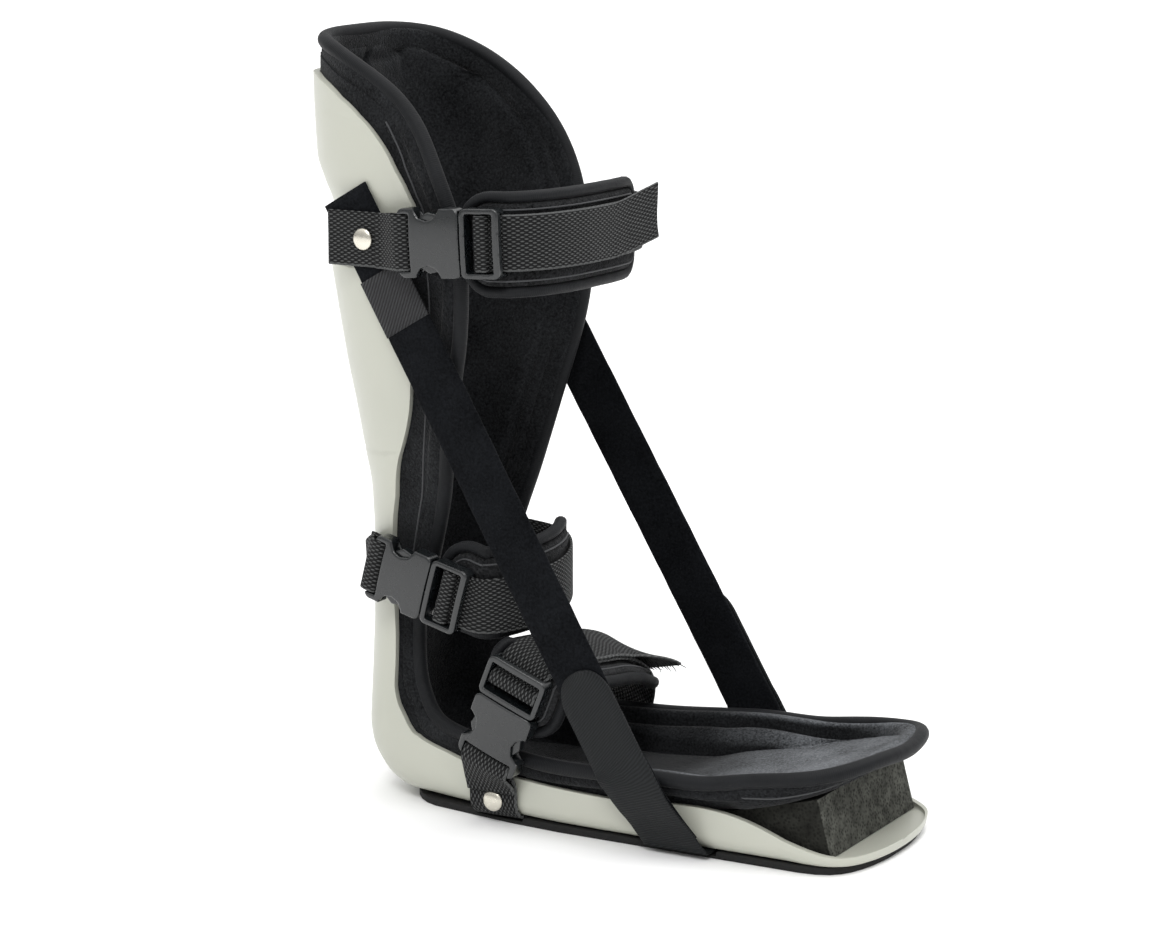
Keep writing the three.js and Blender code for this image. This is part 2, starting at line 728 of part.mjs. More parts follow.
function buildPadBinding(course, pad) {
  const offset = padBinding + gap;
  const half = pad.width / 2 - 2 * padBinding + offset;
  const corner = padCorner - padBinding + offset;
  const low = pad.from - offset;
  const high = pad.to + offset;
  const outline = [];
  const turn = (centreAlong, centreAside, start) => {
    for (let i = 0; i <= 3; i += 1) {
      const angle = start + (Math.PI / 2) * (i / 3);
      outline.push([centreAlong + corner * Math.cos(angle), centreAside + corner * Math.sin(angle)]);
    }
  };
  const straight = course.stations(low + corner, high - corner).slice(1, -1);
  turn(high - corner, -half + corner, -Math.PI / 2);
  turn(high - corner, half - corner, 0);
  [...straight].reverse().forEach((along) => outline.push([along, half]));
  turn(low + corner, half - corner, Math.PI / 2);
  turn(low + corner, -half + corner, Math.PI);
  straight.forEach((along) => outline.push([along, -half]));
  const stations = outline.map(([along, aside]) => ({
    centre: course.place(along, -2 * gap - padThickness / 2, aside + pad.aside),
    across: course.frame(along).outward,
  }));
  return edgeTube(stations, padBinding, padThickness / 2, 6);
}

// The two halves of a side-release buckle, in their own frame: x along the strap, y across it, z outward.
// x is 0 at the face where the halves meet, the socket lies at negative x.
function roundedRectangle(low, high, halfWidth, corner) {
  const shape = new THREE.Shape();
  shape.moveTo(low + corner, -halfWidth);
  shape.lineTo(high - corner, -halfWidth);
  shape.absarc(high - corner, -halfWidth + corner, corner, -Math.PI / 2, 0, false);
  shape.lineTo(high, halfWidth - corner);
  shape.absarc(high - corner, halfWidth - corner, corner, 0, Math.PI / 2, false);
  shape.lineTo(low + corner, halfWidth);
  shape.absarc(low + corner, halfWidth - corner, corner, Math.PI / 2, Math.PI, false);
  shape.lineTo(low, -halfWidth + corner);
  shape.absarc(low + corner, -halfWidth + corner, corner, Math.PI, 1.5 * Math.PI, false);
  return shape;
}

function plate(shape, low, high) {
  const flat = new THREE.ExtrudeGeometry(shape, { depth: high - low, bevelEnabled: false, curveSegments: 3 });
  return flat.translate(0, 0, low);
}

function buildSocket() {
  const half = buckleWidth / 2;
  const body = plate(roundedRectangle(-socketLength, 0, half, buckleCorner), 0, buckleDeep);
  const cavity = blockBetween(
    new THREE.Vector3(-socketLength + 3 * barWidth, -half + buckleWall, buckleWall),
    new THREE.Vector3(1, half - buckleWall, buckleDeep - buckleWall),
  );
  const slot = blockBetween(
    new THREE.Vector3(-socketLength + barWidth, -webbing / 2 - gap, -1),
    new THREE.Vector3(-socketLength + 2 * barWidth, webbing / 2 + gap, buckleDeep + 1),
  );
  const fingers = [-1, 1].map((side) => new THREE.CylinderGeometry(fingerRadius, fingerRadius, 3 * buckleDeep, 10)
    .rotateX(Math.PI / 2)
    .translate(-socketLength * fingerPlace, side * (half + fingerRadius * 0.15), 0));
  const relief = blockBetween(
    new THREE.Vector3(-socketLength - 1, -webbing / 2 - gap, buckleDeep - buckleWall - 1),
    new THREE.Vector3(-socketLength + barWidth + 1, webbing / 2 + gap, buckleDeep + 1),
  );
  return cut(body, cavity, slot, relief, ...fingers);
}

function buildPlug() {
  const half = buckleWidth / 2;
  const frame = plate(roundedRectangle(gap, plugLength, half, buckleCorner), 0, buckleDeep);
  const window = blockBetween(
    new THREE.Vector3(barWidth, -webbing / 2 - 2 * gap, -1),
    new THREE.Vector3(plugLength - barWidth, webbing / 2 + 2 * gap, buckleDeep + 1),
  );
  const layers = 2 * webbingThickness + 4 * gap;
  const under = blockBetween(
    new THREE.Vector3(barWidth, -webbing / 2 - 2 * gap, -1),
    new THREE.Vector3(plugLength + 1, webbing / 2 + 2 * gap, layers),
  );
  const bar = blockBetween(
    new THREE.Vector3(plugLength / 2 - barWidth / 2, -half + 1, layers),
    new THREE.Vector3(plugLength / 2 + barWidth / 2, half - 1, layers + 0.6 * barWidth),
  );
  const inside = half - buckleWall - gap;
  const arm = barWidth;
  const reach = socketLength * (fingerPlace + 0.16);
  const low = buckleWall + gap;
  const high = buckleDeep - buckleWall - gap;
  const arms = [-1, 1].map((side) => {
    const shape = outlineShape([
      [2 * gap, side * (inside - arm - 2)],
      [2 * gap, side * (inside - 1)],
      [-socketLength * fingerPlace * 0.6, side * (inside - 1.5)],
      [-socketLength * fingerPlace, side * inside],
      [-reach, side * (inside - arm)],
      [-reach, side * (inside - 2 * arm)],
      [-socketLength * fingerPlace * 0.7, side * (inside - 1.6 * arm)],
    ]);
    return plate(shape, low, high);
  });
  const tongue = plate(outlineShape([
    [2 * gap, -1.5], [2 * gap, 1.5], [-reach * 0.8, 1.5], [-reach * 0.8, -1.5],
  ]), low, high);
  const framed = cut(frame, window, under);
  return join(framed, bar, tongue, ...arms);
}

// The webbing in a plug: the tail lies on the carrying layer, both pass under the end bar, and the webbing
// turns back over the middle bar.
const layerOne = 1.4 * gap + webbingThickness / 2;
const layerTwo = layerOne + webbingThickness + gap;

function plugTurn(meet) {
  const middle = meet + plugLength / 2;
  const layers = 2 * webbingThickness + 4 * gap;
  const over = gap + layers + 0.6 * barWidth + gap + webbingThickness / 2 + 0.1;
  const side = barWidth / 2 + gap + webbingThickness / 2 + 0.2;
  return [
    [middle + side + 0.9, layerTwo + 0.35],
    [middle + side, layerTwo + 1.6],
    [middle + side, over - 1.2],
    [middle + side - 0.6, over - 0.15],
    [middle - side + 0.6, over - 0.15],
    [middle - side, over - 1.2],
    [middle - side, layerOne + 1.5],
    [middle - side + 0.5, layerOne + 0.45],
    [middle - side + 1.6, layerOne],
  ];
}

// A strap: its free tail, the turn in the plug, the carrying layer round the front, and its far end.
function buildStrap(course, meet, tail, far) {
  const tailStart = meet + plugLength - barWidth + 1;
  const carryStart = meet + plugLength / 2 + 1;
  const stations = [
    ...[...tail].reverse(),
    ...course.stations(tailStart, tail[0][0]).slice(0, -1).reverse().map((along) => [along, layerTwo]),
    ...plugTurn(meet),
    ...course.stations(carryStart, far[0][0]).slice(1, -1).map((along) => [along, layerOne]),
    ...far,
  ];
  return strip(alongCourse(course, stations, webbing), webbingThickness);
}

// Webbing round a socket's bar: in under the bar, up through the slot behind it, and back over it.
function anchorLoop(course, bar) {
  const lay = webbingThickness / 2 + gap;
  const under = -lay;
  const over = gap + buckleDeep - buckleWall - 1 + lay;
  const slot = bar + barWidth;
  const stations = [
    [bar - 2.4 * barWidth, under - 0.5],
    [bar - 1.2 * barWidth, under - 0.2],
    [bar - 0.4 * barWidth, under],
    [slot - 0.6, under + 0.25],
    [slot, under + 1.6],
    [slot, over - 1.6],
    [slot - 0.6, over - 0.25],
    [bar - 0.2 * barWidth, over],
    [bar - 0.9 * barWidth, over - 0.2],
    [bar - 1.7 * barWidth, over - 1.6],
  ];
  return alongCourse(course, stations, webbing);
}

function placeBuckle(course, name, meet) {
  const matrix = course.matrix(meet, gap);
  addPiece(`${name}_buckle_socket`, buildSocket().applyMatrix4(matrix), 'plastic');
  addPiece(`${name}_buckle_plug`, buildPlug().applyMatrix4(matrix), 'plastic');
}

// A rivet on a surface: a domed head with a shank through what it holds.
function rivetAt(at, outward, held) {
  const dome = [[0, -held], [rivetShank, -held], [rivetShank, 0]];
  for (let i = 0; i <= 3; i += 1) {
    const angle = (Math.PI / 2) * (i / 3);
    dome.push([rivetHead * Math.cos(angle), rivetDome * 0.35 + rivetDome * 0.65 * Math.sin(angle)]);
  }
  dome.splice(3, 0, [rivetHead, 0]);
  dome[dome.length - 1][0] = 0;
  const head = new THREE.LatheGeometry(dome.map(([r, h]) => new THREE.Vector2(r, h)), 9);
  const turn = new THREE.Quaternion().setFromUnitVectors(new THREE.Vector3(0, 1, 0), outward);
  return head.applyQuaternion(turn).translate(at.x, at.y, at.z);
}

function holeAt(at, outward, held) {
  const length = held + 6;
  const hole = new THREE.CylinderGeometry(rivetShank + gap, rivetShank + gap, length, 10);
  hole.translate(0, 3 - length / 2 + 0.5, 0);
  const turn = new THREE.Quaternion().setFromUnitVectors(new THREE.Vector3(0, 1, 0), outward);
  return hole.applyQuaternion(turn).translate(at.x, at.y, at.z);
}

// The shell's outer side at a place beside the leg, as a distance from the middle plane.
function shellSide(x, z) {
  const height = z / shellHeight;
  const half = lookUp(legRows, 'height', height, 'half') * calfHalfWidth;
  const corner = lookUp(legRows, 'height', height, 'corner') * calfCorner;
  const depth = x + lookUp(legRows, 'height', height, 'back') * calfBack;
  if (depth >= corner) {
    return half;
  }
  return half - corner + corner * Math.sin(Math.acos(1 - depth / corner));
}

// The shell's outer side beside the foot.
function soleSide(x) {
  return lookUp(footRows, 'along', x / toeReach, 'half') * soleHalfWidth;
}

const point = (x, y, z) => new THREE.Vector3(x, y, z);
const plain = (stations, across, width) => stations.map((at) => ({ at, across, width }));

// Tension straps: from the rivets at the calf, under the calf strap's webbing, past the foot liner's rim to
// the sole.
const tabHeight = 0.785 * shellHeight; // of the calf strap's riveted ends
const rivetPlace = -0.267 * calfBack;
const tensionTop = tabHeight + 0.057 * shellHeight;
const tensionFoot = 0.62 * toeReach;   // where their centre lines would meet the floor
const tensionRake = (tensionFoot - rivetPlace) / tabHeight;
const strapSide = 0.9945 * calfHalfWidth;
const rimClearance = 0.8;
const rimHeight = 0.125 * shellHeight;
const tensionAcross = point(Math.cos(Math.atan(tensionRake)), 0, Math.sin(Math.atan(tensionRake)));

const liner = buildLiner();
const rim = linerRim(liner);
const rimSide = bindingRadius + Math.max(...rim
  .filter(({ centre }) => centre.x > 0.3 * toeReach && centre.z < 2 * rimHeight)
  .map(({ centre }) => Math.abs(centre.y)));

function tensionPlace(z, y) {
  return point(tensionFoot - tensionRake * z, y, z);
}

// How far from the middle plane a layer's middle lies, a given height above the tension strap's middle.
function tensionSides(above) {
  const lay = softThickness / 2 + above;
  return {
    onShell: strapSide + gap + lay,
    atRim: rimSide + rimClearance + lay,
    onSole: soleSide(tensionFoot) + 2 * gap + lay,
  };
}

function tensionStrap(side) {
  const { onShell, atRim, onSole } = tensionSides(0);
  const course = [
    [tensionTop, onShell],
    [0.88 * tensionTop, onShell],
    [1.9 * rimHeight, atRim],
    [rimHeight, atRim],
  ];
  return strip([
    ...plain(course.map(([z, y]) => tensionPlace(z, side * y)), tensionAcross, softStrap),
    ...levelPlaces(side, softStrap, [
      [0.75 * rimHeight, atRim],
      [0.49 * rimHeight, 0.6 * atRim + 0.4 * onSole],
      [0.33 * rimHeight, 0.2 * atRim + 0.8 * onSole],
      [0.2 * rimHeight, onSole],
    ]),
  ], softThickness);
}

// Places where a raked strap's rings are level, so that it can turn under the sole's edge.
function levelPlaces(side, width, list) {
  return list.map(([z, y]) => ({
    at: tensionPlace(z, side * y),
    across: point(1, 0, 0),
    width: width / Math.cos(Math.atan(tensionRake)),
    level: true,
  }));
}

// The hook tab lies on the tension strap's lower end and turns under the sole's edge. top: the height where
// its rounded end starts, as a share of shellHeight.
const hookTops = { near: 0.198, far: 0.225 };
const hookUnder = 12;                  // how far the tab runs in under the sole

function hookTabPiece(side, top) {
  const { atRim, onSole } = tensionSides(softThickness / 2 + gap + hookThickness / 2);
  const under = soleTop - gap - hookThickness / 2;
  const edge = soleSide(tensionFoot) - 0.5 * soleCorner;
  const raked = [
    [top * shellHeight + 0.5 * hookTab, atRim, 0.35],
    [top * shellHeight + 0.46 * hookTab, atRim, 0.7],
    [top * shellHeight + 0.3 * hookTab, atRim, 0.92],
    [top * shellHeight, atRim, 1],
    [rimHeight, atRim, 1],
  ];
  const level = [
    [0.75 * rimHeight, atRim],
    [0.49 * rimHeight, 0.6 * atRim + 0.4 * onSole + 0.4],
    [0.33 * rimHeight, 0.2 * atRim + 0.8 * onSole + 0.4],
    [1.8 * soleTop, onSole + 0.3],
    [1.15 * soleTop, onSole - 1.2],
    [under + 0.5, edge + 0.9 * soleCorner],
    [under, edge],
    [under, edge - hookUnder],
  ];
  return strip([
    ...raked.map(([z, y, share]) => ({
      at: tensionPlace(z, side * y), across: tensionAcross, width: share * hookTab,
    })),
    ...levelPlaces(side, hookTab, level),
  ], hookThickness);
}

// Calf strap: x as a share of calfBack, y of calfHalfWidth, z of shellHeight. The first rows are straight
// where the buckle sits, the rest go round the front to the far side.
const calfRows = [
  { x: -0.219, y: -1.140, z: 0.7855 },
  { x: 0.066, y: -1.1165, z: 0.7880 },
  { x: 0.274, y: -1.0995, z: 0.7900 },
  { x: 0.483, y: -1.0825, z: 0.7920 },
  { x: 0.690, y: -1.0655, z: 0.7938 },
  { x: 0.844, y: -1.0400, z: 0.7948 },
  { x: 0.985, y: -0.880, z: 0.7955 },
  { x: 1.081, y: -0.550, z: 0.7955 },
  { x: 1.110, y: -0.100, z: 0.7950 },
  { x: 1.088, y: 0.300, z: 0.7940 },
  { x: 0.978, y: 0.660, z: 0.7920 },
  { x: 0.756, y: 0.920, z: 0.7895 },
  { x: 0.452, y: 1.050, z: 0.7865 },
  { x: 0.132, y: 1.070, z: 0.7840 },
];
const calfMeet = 0.548;                // share of calfBack where the buckle's halves meet
const calfPadFrom = 0.54;              // and where the pad's body starts
const tabBack = -0.548 * calfBack;
const tabLayer = gap + softThickness + gap;

function onCalfSide(x, side, layer) {
  return point(x, side * (strapSide + layer), tabHeight);
}

const calfCourse = new Course([
  ...calfRows.map((row) => point(row.x * calfBack, row.y * calfHalfWidth, row.z * shellHeight)),
  ...[-0.13, -0.30, -0.46].map((share) => onCalfSide(share * calfBack, 1, tabLayer)),
], up);

function courseAt(course, along, from = 0, to = course.length) {
  let [low, high] = [from, to];
  for (let i = 0; i < 30; i += 1) {
    const middle = (low + high) / 2;
    if (along(course.frame(middle).at) < 0) {
      low = middle;
    } else {
      high = middle;
    }
  }
  return (low + high) / 2;
}

const frontOf = (course, x) => courseAt(course, (at) => at.x - x, 0, course.length * 0.35);
const acrossOf = (course, y) => courseAt(course, (at) => at.y - y, 0, course.length * 0.8);

const calf = {
  meet: frontOf(calfCourse, calfMeet * calfBack),
  pad: {
    from: frontOf(calfCourse, calfPadFrom * calfBack),
    to: acrossOf(calfCourse, 0.47 * calfHalfWidth),
    width: 47,
    aside: -1.5,
  },
  lift: acrossOf(calfCourse, -0.10 * calfHalfWidth),
};

function calfTail() {
  return [
    [calf.lift, layerTwo, 0],
    [calf.lift + 10, layerTwo + 0.8, 1.2],
    [calf.lift + 20, layerTwo + 3.2, 3.6],
    [calf.lift + 30, layerTwo + 7.5, 6.5],
  ];
}

function calfAnchor() {
  const bar = calf.meet - socketLength + barWidth / 2;
  const lay = tabLayer + webbingThickness / 2;
  const fold = lay + webbingThickness + gap;
  const tab = [tabBack, -0.09 * calfBack].map((x) => onCalfSide(x, -1, lay));
  const back = [-0.10, -0.16].map((share) => onCalfSide(share * calfBack, -1, fold));
  return [...plain(tab, up, webbing), ...anchorLoop(calfCourse, bar), ...plain(back, up, webbing)];
}

// Ankle strap: x as a share of heelReach, y of the ankle's half width, z of ankleHeight.
const ankleCourseRows = [
  { x: -0.80, y: -1.155, z: 1.035 },
  { x: -0.655, y: -1.155, z: 1.021 },
  { x: -0.382, y: -1.155, z: 0.995 },
  { x: -0.055, y: -1.155, z: 0.963 },
  { x: 0.328, y: -1.155, z: 0.926 },
  { x: 0.612, y: -1.155, z: 0.899 },
  { x: 0.819, y: -1.155, z: 0.884 },
  { x: 1.027, y: -1.050, z: 0.890 },
  { x: 1.168, y: -0.780, z: 0.897 },
  { x: 1.234, y: -0.420, z: 0.904 },
  { x: 1.212, y: -0.100, z: 0.911 },
  { x: 1.114, y: 0.200, z: 0.917 },
  { x: 0.961, y: 0.480, z: 0.923 },
  { x: 0.764, y: 0.740, z: 0.929 },
  { x: 0.502, y: 0.940, z: 0.933 },
  { x: 0.164, y: 1.050, z: 0.936 },
  { x: -0.218, y: 1.110, z: 0.938 },
  { x: -0.568, y: 1.120, z: 0.939 },
];
const ankleMeet = 0.22;                // share of heelReach where the buckle's halves meet
const anklePadFrom = 0.32;
const wrapHeight = 0.90 * ankleHeight;
const wrapClearance = 1.8;             // the webbing behind the shell stands this far off it

const ankleCourse = new Course(ankleCourseRows.map((row) => (
  point(row.x * heelReach, row.y * ankleHalf, row.z * ankleHeight)
)), up);

const ankle = {
  meet: frontOf(ankleCourse, ankleMeet * heelReach),
  pad: {
    from: frontOf(ankleCourse, anklePadFrom * heelReach),
    to: acrossOf(ankleCourse, 0.50 * ankleHalf),
    width: 43,
    aside: 5,
  },
  lift: acrossOf(ankleCourse, -0.70 * ankleHalf),
};

// A place on the webbing that wraps the back of the ankle: degrees from straight out at the side to
// straight back, on the near (-1) or the far side (1).
function ankleWrap(side, degrees, layer) {
  const angle = THREE.MathUtils.degToRad(degrees);
  const corner = legRows[0].corner * calfCorner;
  const radius = corner + wrapClearance + webbingThickness / 2 + layer;
  const middle = corner - legRows[0].back * calfBack;
  const y = ankleHalf - corner + radius * Math.cos(angle);
  return point(middle - radius * Math.sin(angle), side * y, wrapHeight);
}

function ankleAnchor() {
  const far = [-8, 8, 24, 40, 60, 80].map((degrees) => ankleWrap(1, degrees, 0));
  const near = [[80, 0], [66, 1.5], [53, 4.5], [40, 8.5]].map(([degrees, rise]) => (
    ankleWrap(-1, degrees, gap + 0.15 * rise).add(point(0, 0, rise))
  ));
  const loop = anchorLoop(ankleCourse, ankle.meet - socketLength + barWidth / 2);
  const low = near[near.length - 1];
  const out = new THREE.Vector3().subVectors(loop[0].at, low).cross(up).normalize();
  const fold = [0.25, 0.7].map((share) => (
    loop[0].at.clone().lerp(low, share).addScaledVector(out, -webbingThickness - 3 * gap)
  ));
  return [...plain([...far, ...near], up, webbing), ...loop, ...plain(fold, up, webbing)];
}

// Instep strap: x as a share of toeReach, y of soleHalfWidth, z of instepHeight.
const instepHeight = 86;
const instepRows = [
  { x: 0.1794, y: -1.090, z: 0.283 },
  { x: 0.2018, y: -1.090, z: 0.427 },
  { x: 0.2242, y: -1.090, z: 0.570 },
  { x: 0.2466, y: -1.090, z: 0.714 },
  { x: 0.2655, y: -1.090, z: 0.835 },
  { x: 0.2735, y: -1.088, z: 0.886 },
  { x: 0.2855, y: -1.020, z: 0.930 },
  { x: 0.2945, y: -0.870, z: 0.940 },
  { x: 0.2990, y: -0.640, z: 0.930 },
  { x: 0.3004, y: -0.370, z: 0.902 },
  { x: 0.2996, y: 0.000, z: 0.868 },
  { x: 0.2969, y: 0.311, z: 0.815 },
  { x: 0.2915, y: 0.583, z: 0.735 },
  { x: 0.2780, y: 0.816, z: 0.630 },
  { x: 0.2556, y: 0.995, z: 0.505 },
  { x: 0.2287, y: 1.110, z: 0.385 },
  { x: 0.2018, y: 1.090, z: 0.290 },
];
const instepSlope = 22.7;              // degrees that the strap's width drops towards the toes
const instepPlace = 0.184 * toeReach;  // where its anchor crosses the sole
const instepRivet = 0.13 * instepHeight;

const slopeAngle = THREE.MathUtils.degToRad(instepSlope);
const instepSide = soleSide(instepPlace + webbing / 2);
const instepCourse = new Course([
  ...instepRows.map((row) => point(row.x * toeReach, row.y * soleHalfWidth, row.z * instepHeight)),
  ...[0.20, 0.14, 0.08].map((share) => (
    point(instepPlace, instepSide + 2 * gap + webbingThickness, share * instepHeight)
  )),
], point(-Math.cos(slopeAngle), 0, Math.sin(slopeAngle)));

const instep = {
  meet: courseAt(instepCourse, (at) => at.z - 0.70 * instepHeight, 0, instepCourse.length * 0.3),
  pad: {
    from: courseAt(instepCourse, (at) => at.z - 0.62 * instepHeight, 0, instepCourse.length * 0.3),
    to: acrossOf(instepCourse, 0.62 * soleHalfWidth),
    width: 44,
    aside: -2,
  },
  lift: acrossOf(instepCourse, 0.02 * soleHalfWidth),
};

// The instep strap's anchor runs from the socket down the side, across under the shell and up the far side.
function instepAnchor() {
  const lay = gap + webbingThickness / 2;
  const side = instepSide + lay;
  const corner = lookUp(footRows, 'along', (instepPlace + webbing / 2) / toeReach, 'corner') * soleCorner;
  const bend = (sign) => [80, 55, 30, 8].map((degrees) => {
    const angle = THREE.MathUtils.degToRad(degrees);
    const radius = corner + lay;
    return point(
      instepPlace,
      sign * (side - radius + radius * Math.sin(angle)),
      soleTop + corner - radius * Math.cos(angle),
    );
  });
  const shares = [0.23, 0.19, 0.145];
  const near = shares.map((share) => point(instepPlace, -side - (share > 0.2 ? 0.8 : 0), share * instepHeight));
  const far = [0.145, 0.19].map((share) => point(instepPlace, side, share * instepHeight));
  const fold = [0.225, 0.19].map((share) => (
    point(instepPlace, -side - webbingThickness - 2 * gap - (share > 0.2 ? 0.8 : 0), share * instepHeight)
  ));
  const loop = anchorLoop(instepCourse, instep.meet - socketLength + barWidth / 2);
  const below = [...[...far].reverse(), ...bend(1), ...bend(-1).reverse(), ...[...near].reverse()];
  const back = point(-1, 0, 0);
  return [...plain(below, back, webbing), ...loop, ...plain(fold, back, webbing)];
}

function instepTail() {
  return [
    [instep.lift, layerTwo, 0],
    [instep.lift + 12, layerTwo + 1, -2],
    [instep.lift + 24, layerTwo + 3.2, -7],
    [instep.lift + 36, layerTwo + 6.5, -13],
  ];
}

function lastOf(course, margin) {
  return [[course.length - margin, layerOne, 0], [course.length, layerOne, 0]];
}

// Rivets: through the webbing, the tension strap's end and the shell at the calf, and at the sole's side.
const near = point(0, -1, 0);
const farther = point(0, 1, 0);
const calfLayers = tabLayer + webbingThickness + gap;
const soleLayers = 2 * gap + webbingThickness;
const calfHeld = strapSide - shellSide(rivetPlace, tabHeight) + shellWall - gap;
const soleHeld = instepSide - soleSide(instepPlace) + shellWall - gap;
const farLayers = calfLayers + 2 * gap;
const farSole = soleLayers + webbingThickness + 3 * gap;
const rivets = [
  { name: 'calf_rivet_near', at: onCalfSide(rivetPlace, -1, calfLayers), outward: near,
    held: calfLayers + calfHeld },
  { name: 'calf_rivet_far', at: onCalfSide(rivetPlace, 1, farLayers), outward: farther,
    held: farLayers + calfHeld },
  { name: 'instep_rivet_near', at: point(instepPlace, -instepSide - soleLayers, instepRivet),
    outward: near, held: soleLayers + soleHeld },
  { name: 'instep_rivet_far', at: point(instepPlace, instepSide + farSole, instepRivet),
    outward: farther, held: farSole + soleHeld },
];
const holes = rivets.map((rivet) => holeAt(rivet.at, rivet.outward, rivet.held));

// Grooves in the tread for the instep strap's anchor and for the hook tabs.
function groove(x, halfWidth, nearY, farY, depth) {
  return blockBetween(
    point(x - halfWidth, nearY, treadThickness - depth),
    point(x + halfWidth, farY, treadThickness + 1),
  );
}

const hookGroove = (side) => {
  const outer = side * (soleHalfWidth + 1);
  const inner = side * (soleHalfWidth - soleCorner - hookUnder - 1);
  const half = hookTab / 2 / Math.cos(Math.atan(tensionRake)) + 1;
  return groove(
    tensionFoot - tensionRake * soleTop / 2,
    half,
    Math.min(outer, inner),
    Math.max(outer, inner),
    hookThickness + 3 * gap,
  );
};
const grooves = [
  groove(instepPlace, webbing / 2 + gap, -soleHalfWidth, soleHalfWidth, webbingThickness + gap),
  hookGroove(-1),
  hookGroove(1),
];

addPiece('shell', cut(buildShell(), ...holes), 'shell');
addPiece('sole_tread', buildTread(grooves), 'tread');
const bindingTube = (radius) => edgeTube(rim, radius, radius, 6);
addPiece('liner', cut(liner.geometry, bindingTube(bindingRadius + gap)), 'fleece');
addPiece('liner_binding', bindingTube(bindingRadius), 'binding');
addPiece('toe_wedge', buildWedge(), 'foam');
for (const [name, side] of [['near', -1], ['far', 1]]) {
  const hole = holes[side < 0 ? 0 : 1];
  addPiece(`tension_strap_${name}`, cut(tensionStrap(side), hole), 'fleece');
  addPiece(`hook_tab_${name}`, hookTabPiece(side, hookTops[name]), 'hook');
}

const straps = [
  { name: 'calf', course: calfCourse, set: calf, anchor: calfAnchor(), tail: calfTail(), near: 0, far: 1 },
  { name: 'ankle', course: ankleCourse, set: ankle, anchor: ankleAnchor(),
    tail: [[ankle.lift, layerTwo, 0]] },
  { name: 'instep', course: instepCourse, set: instep, anchor: instepAnchor(), tail: instepTail(),
    near: 2, far: 3 },
];
for (const { name, course, set, anchor, tail, near: nearHole, far: farHole } of straps) {
  const anchorBody = strip(anchor, webbingThickness);
  const strapBody = buildStrap(course, set.meet, tail, lastOf(course, webbing / 2));
  const pierced = nearHole !== undefined;
  const anchorHoles = name === 'instep' ? [holes[nearHole], holes[farHole]] : [holes[nearHole]];
  addPiece(`${name}_anchor`, pierced ? cut(anchorBody, ...anchorHoles) : anchorBody, 'webbing');
  addPiece(`${name}_strap`, pierced ? cut(strapBody, holes[farHole]) : strapBody, 'webbing');
  placeBuckle(course, name, set.meet);
  addPiece(`${name}_pad`, buildPad(course, set.pad), 'fleece');
  addPiece(`${name}_pad_binding`, buildPadBinding(course, set.pad), 'binding');
}
for (const rivet of rivets) {
  addPiece(rivet.name, rivetAt(rivet.at, rivet.outward, rivet.held), 'rivet');
}

export default splint;
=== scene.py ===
# Night splint for the foot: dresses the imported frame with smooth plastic, fleece, webbing and buckles.
# Lengths below are millimetres in the frame's own axes. The pieces are in metres, as the frame is.
import math

import bmesh
import bpy
import numpy as np
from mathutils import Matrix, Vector


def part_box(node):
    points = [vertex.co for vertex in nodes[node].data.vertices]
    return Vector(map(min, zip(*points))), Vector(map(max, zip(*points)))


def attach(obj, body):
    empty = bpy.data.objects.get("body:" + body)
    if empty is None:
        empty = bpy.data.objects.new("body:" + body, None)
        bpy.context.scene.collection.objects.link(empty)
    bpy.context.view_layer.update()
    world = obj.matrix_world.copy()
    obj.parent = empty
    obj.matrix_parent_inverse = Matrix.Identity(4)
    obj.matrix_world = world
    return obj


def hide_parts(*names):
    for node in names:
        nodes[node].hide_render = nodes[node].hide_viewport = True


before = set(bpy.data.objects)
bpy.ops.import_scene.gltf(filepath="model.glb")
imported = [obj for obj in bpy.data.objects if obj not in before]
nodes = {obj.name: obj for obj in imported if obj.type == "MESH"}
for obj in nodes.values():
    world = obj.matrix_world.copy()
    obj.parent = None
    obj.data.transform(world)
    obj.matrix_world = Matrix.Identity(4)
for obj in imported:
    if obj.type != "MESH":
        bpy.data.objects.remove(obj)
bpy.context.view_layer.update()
looks = {}

# Driving sizes, in millimetres
TOE_REACH = 223.0
HEEL_REACH = 41.2
SOLE_HALF = 51.5
CALF_HALF = 60.0
ANKLE_HEIGHT = 115.0
SHELL_HEIGHT = 340.0
CALF_BACK = 67.5
FOOT_WALL = 20.0
HEEL_BEND = 28.0
SHELL_WALL = 3.0
SOLE_CORNER = 7.0
CALF_CORNER = 46.0
LINER_THICKNESS = 7.0
LINER_OVERLAP = 2.0
LINER_TOE = 216.5
WEDGE_BACK = 106.0
WEDGE_FRONT = 208.0
WEDGE_HEIGHT = 25.6
WEDGE_LEAN = 7.0
GAP = 0.3
WEBBING = 25.0
WEBBING_THICKNESS = 1.5
SOFT_THICKNESS = 1.8
HOOK_TAB = 27.0
HOOK_THICKNESS = 1.2
PAD_THICKNESS = 6.0
PAD_CORNER = 13.0
PAD_BINDING = 2.6
RIVET_HEAD = 5.0
RIVET_DOME = 2.2
BUCKLE_DEEP = 8.0
SOCKET_LENGTH = 31.0
PLUG_LENGTH = 19.5
BUCKLE_WALL = 1.5
BAR_WIDTH = 3.0
SOLE_TOP = 3.8
ANKLE_HALF = 0.722 * CALF_HALF
BEND_X = HEEL_BEND - HEEL_REACH
BEND_Z = SOLE_TOP + HEEL_BEND
LINER_INSET = SHELL_WALL + GAP
UP = np.array((0.0, 0.0, 1.0))
MM = 0.001
PER_METRE = 1000


# Camera, light and floor

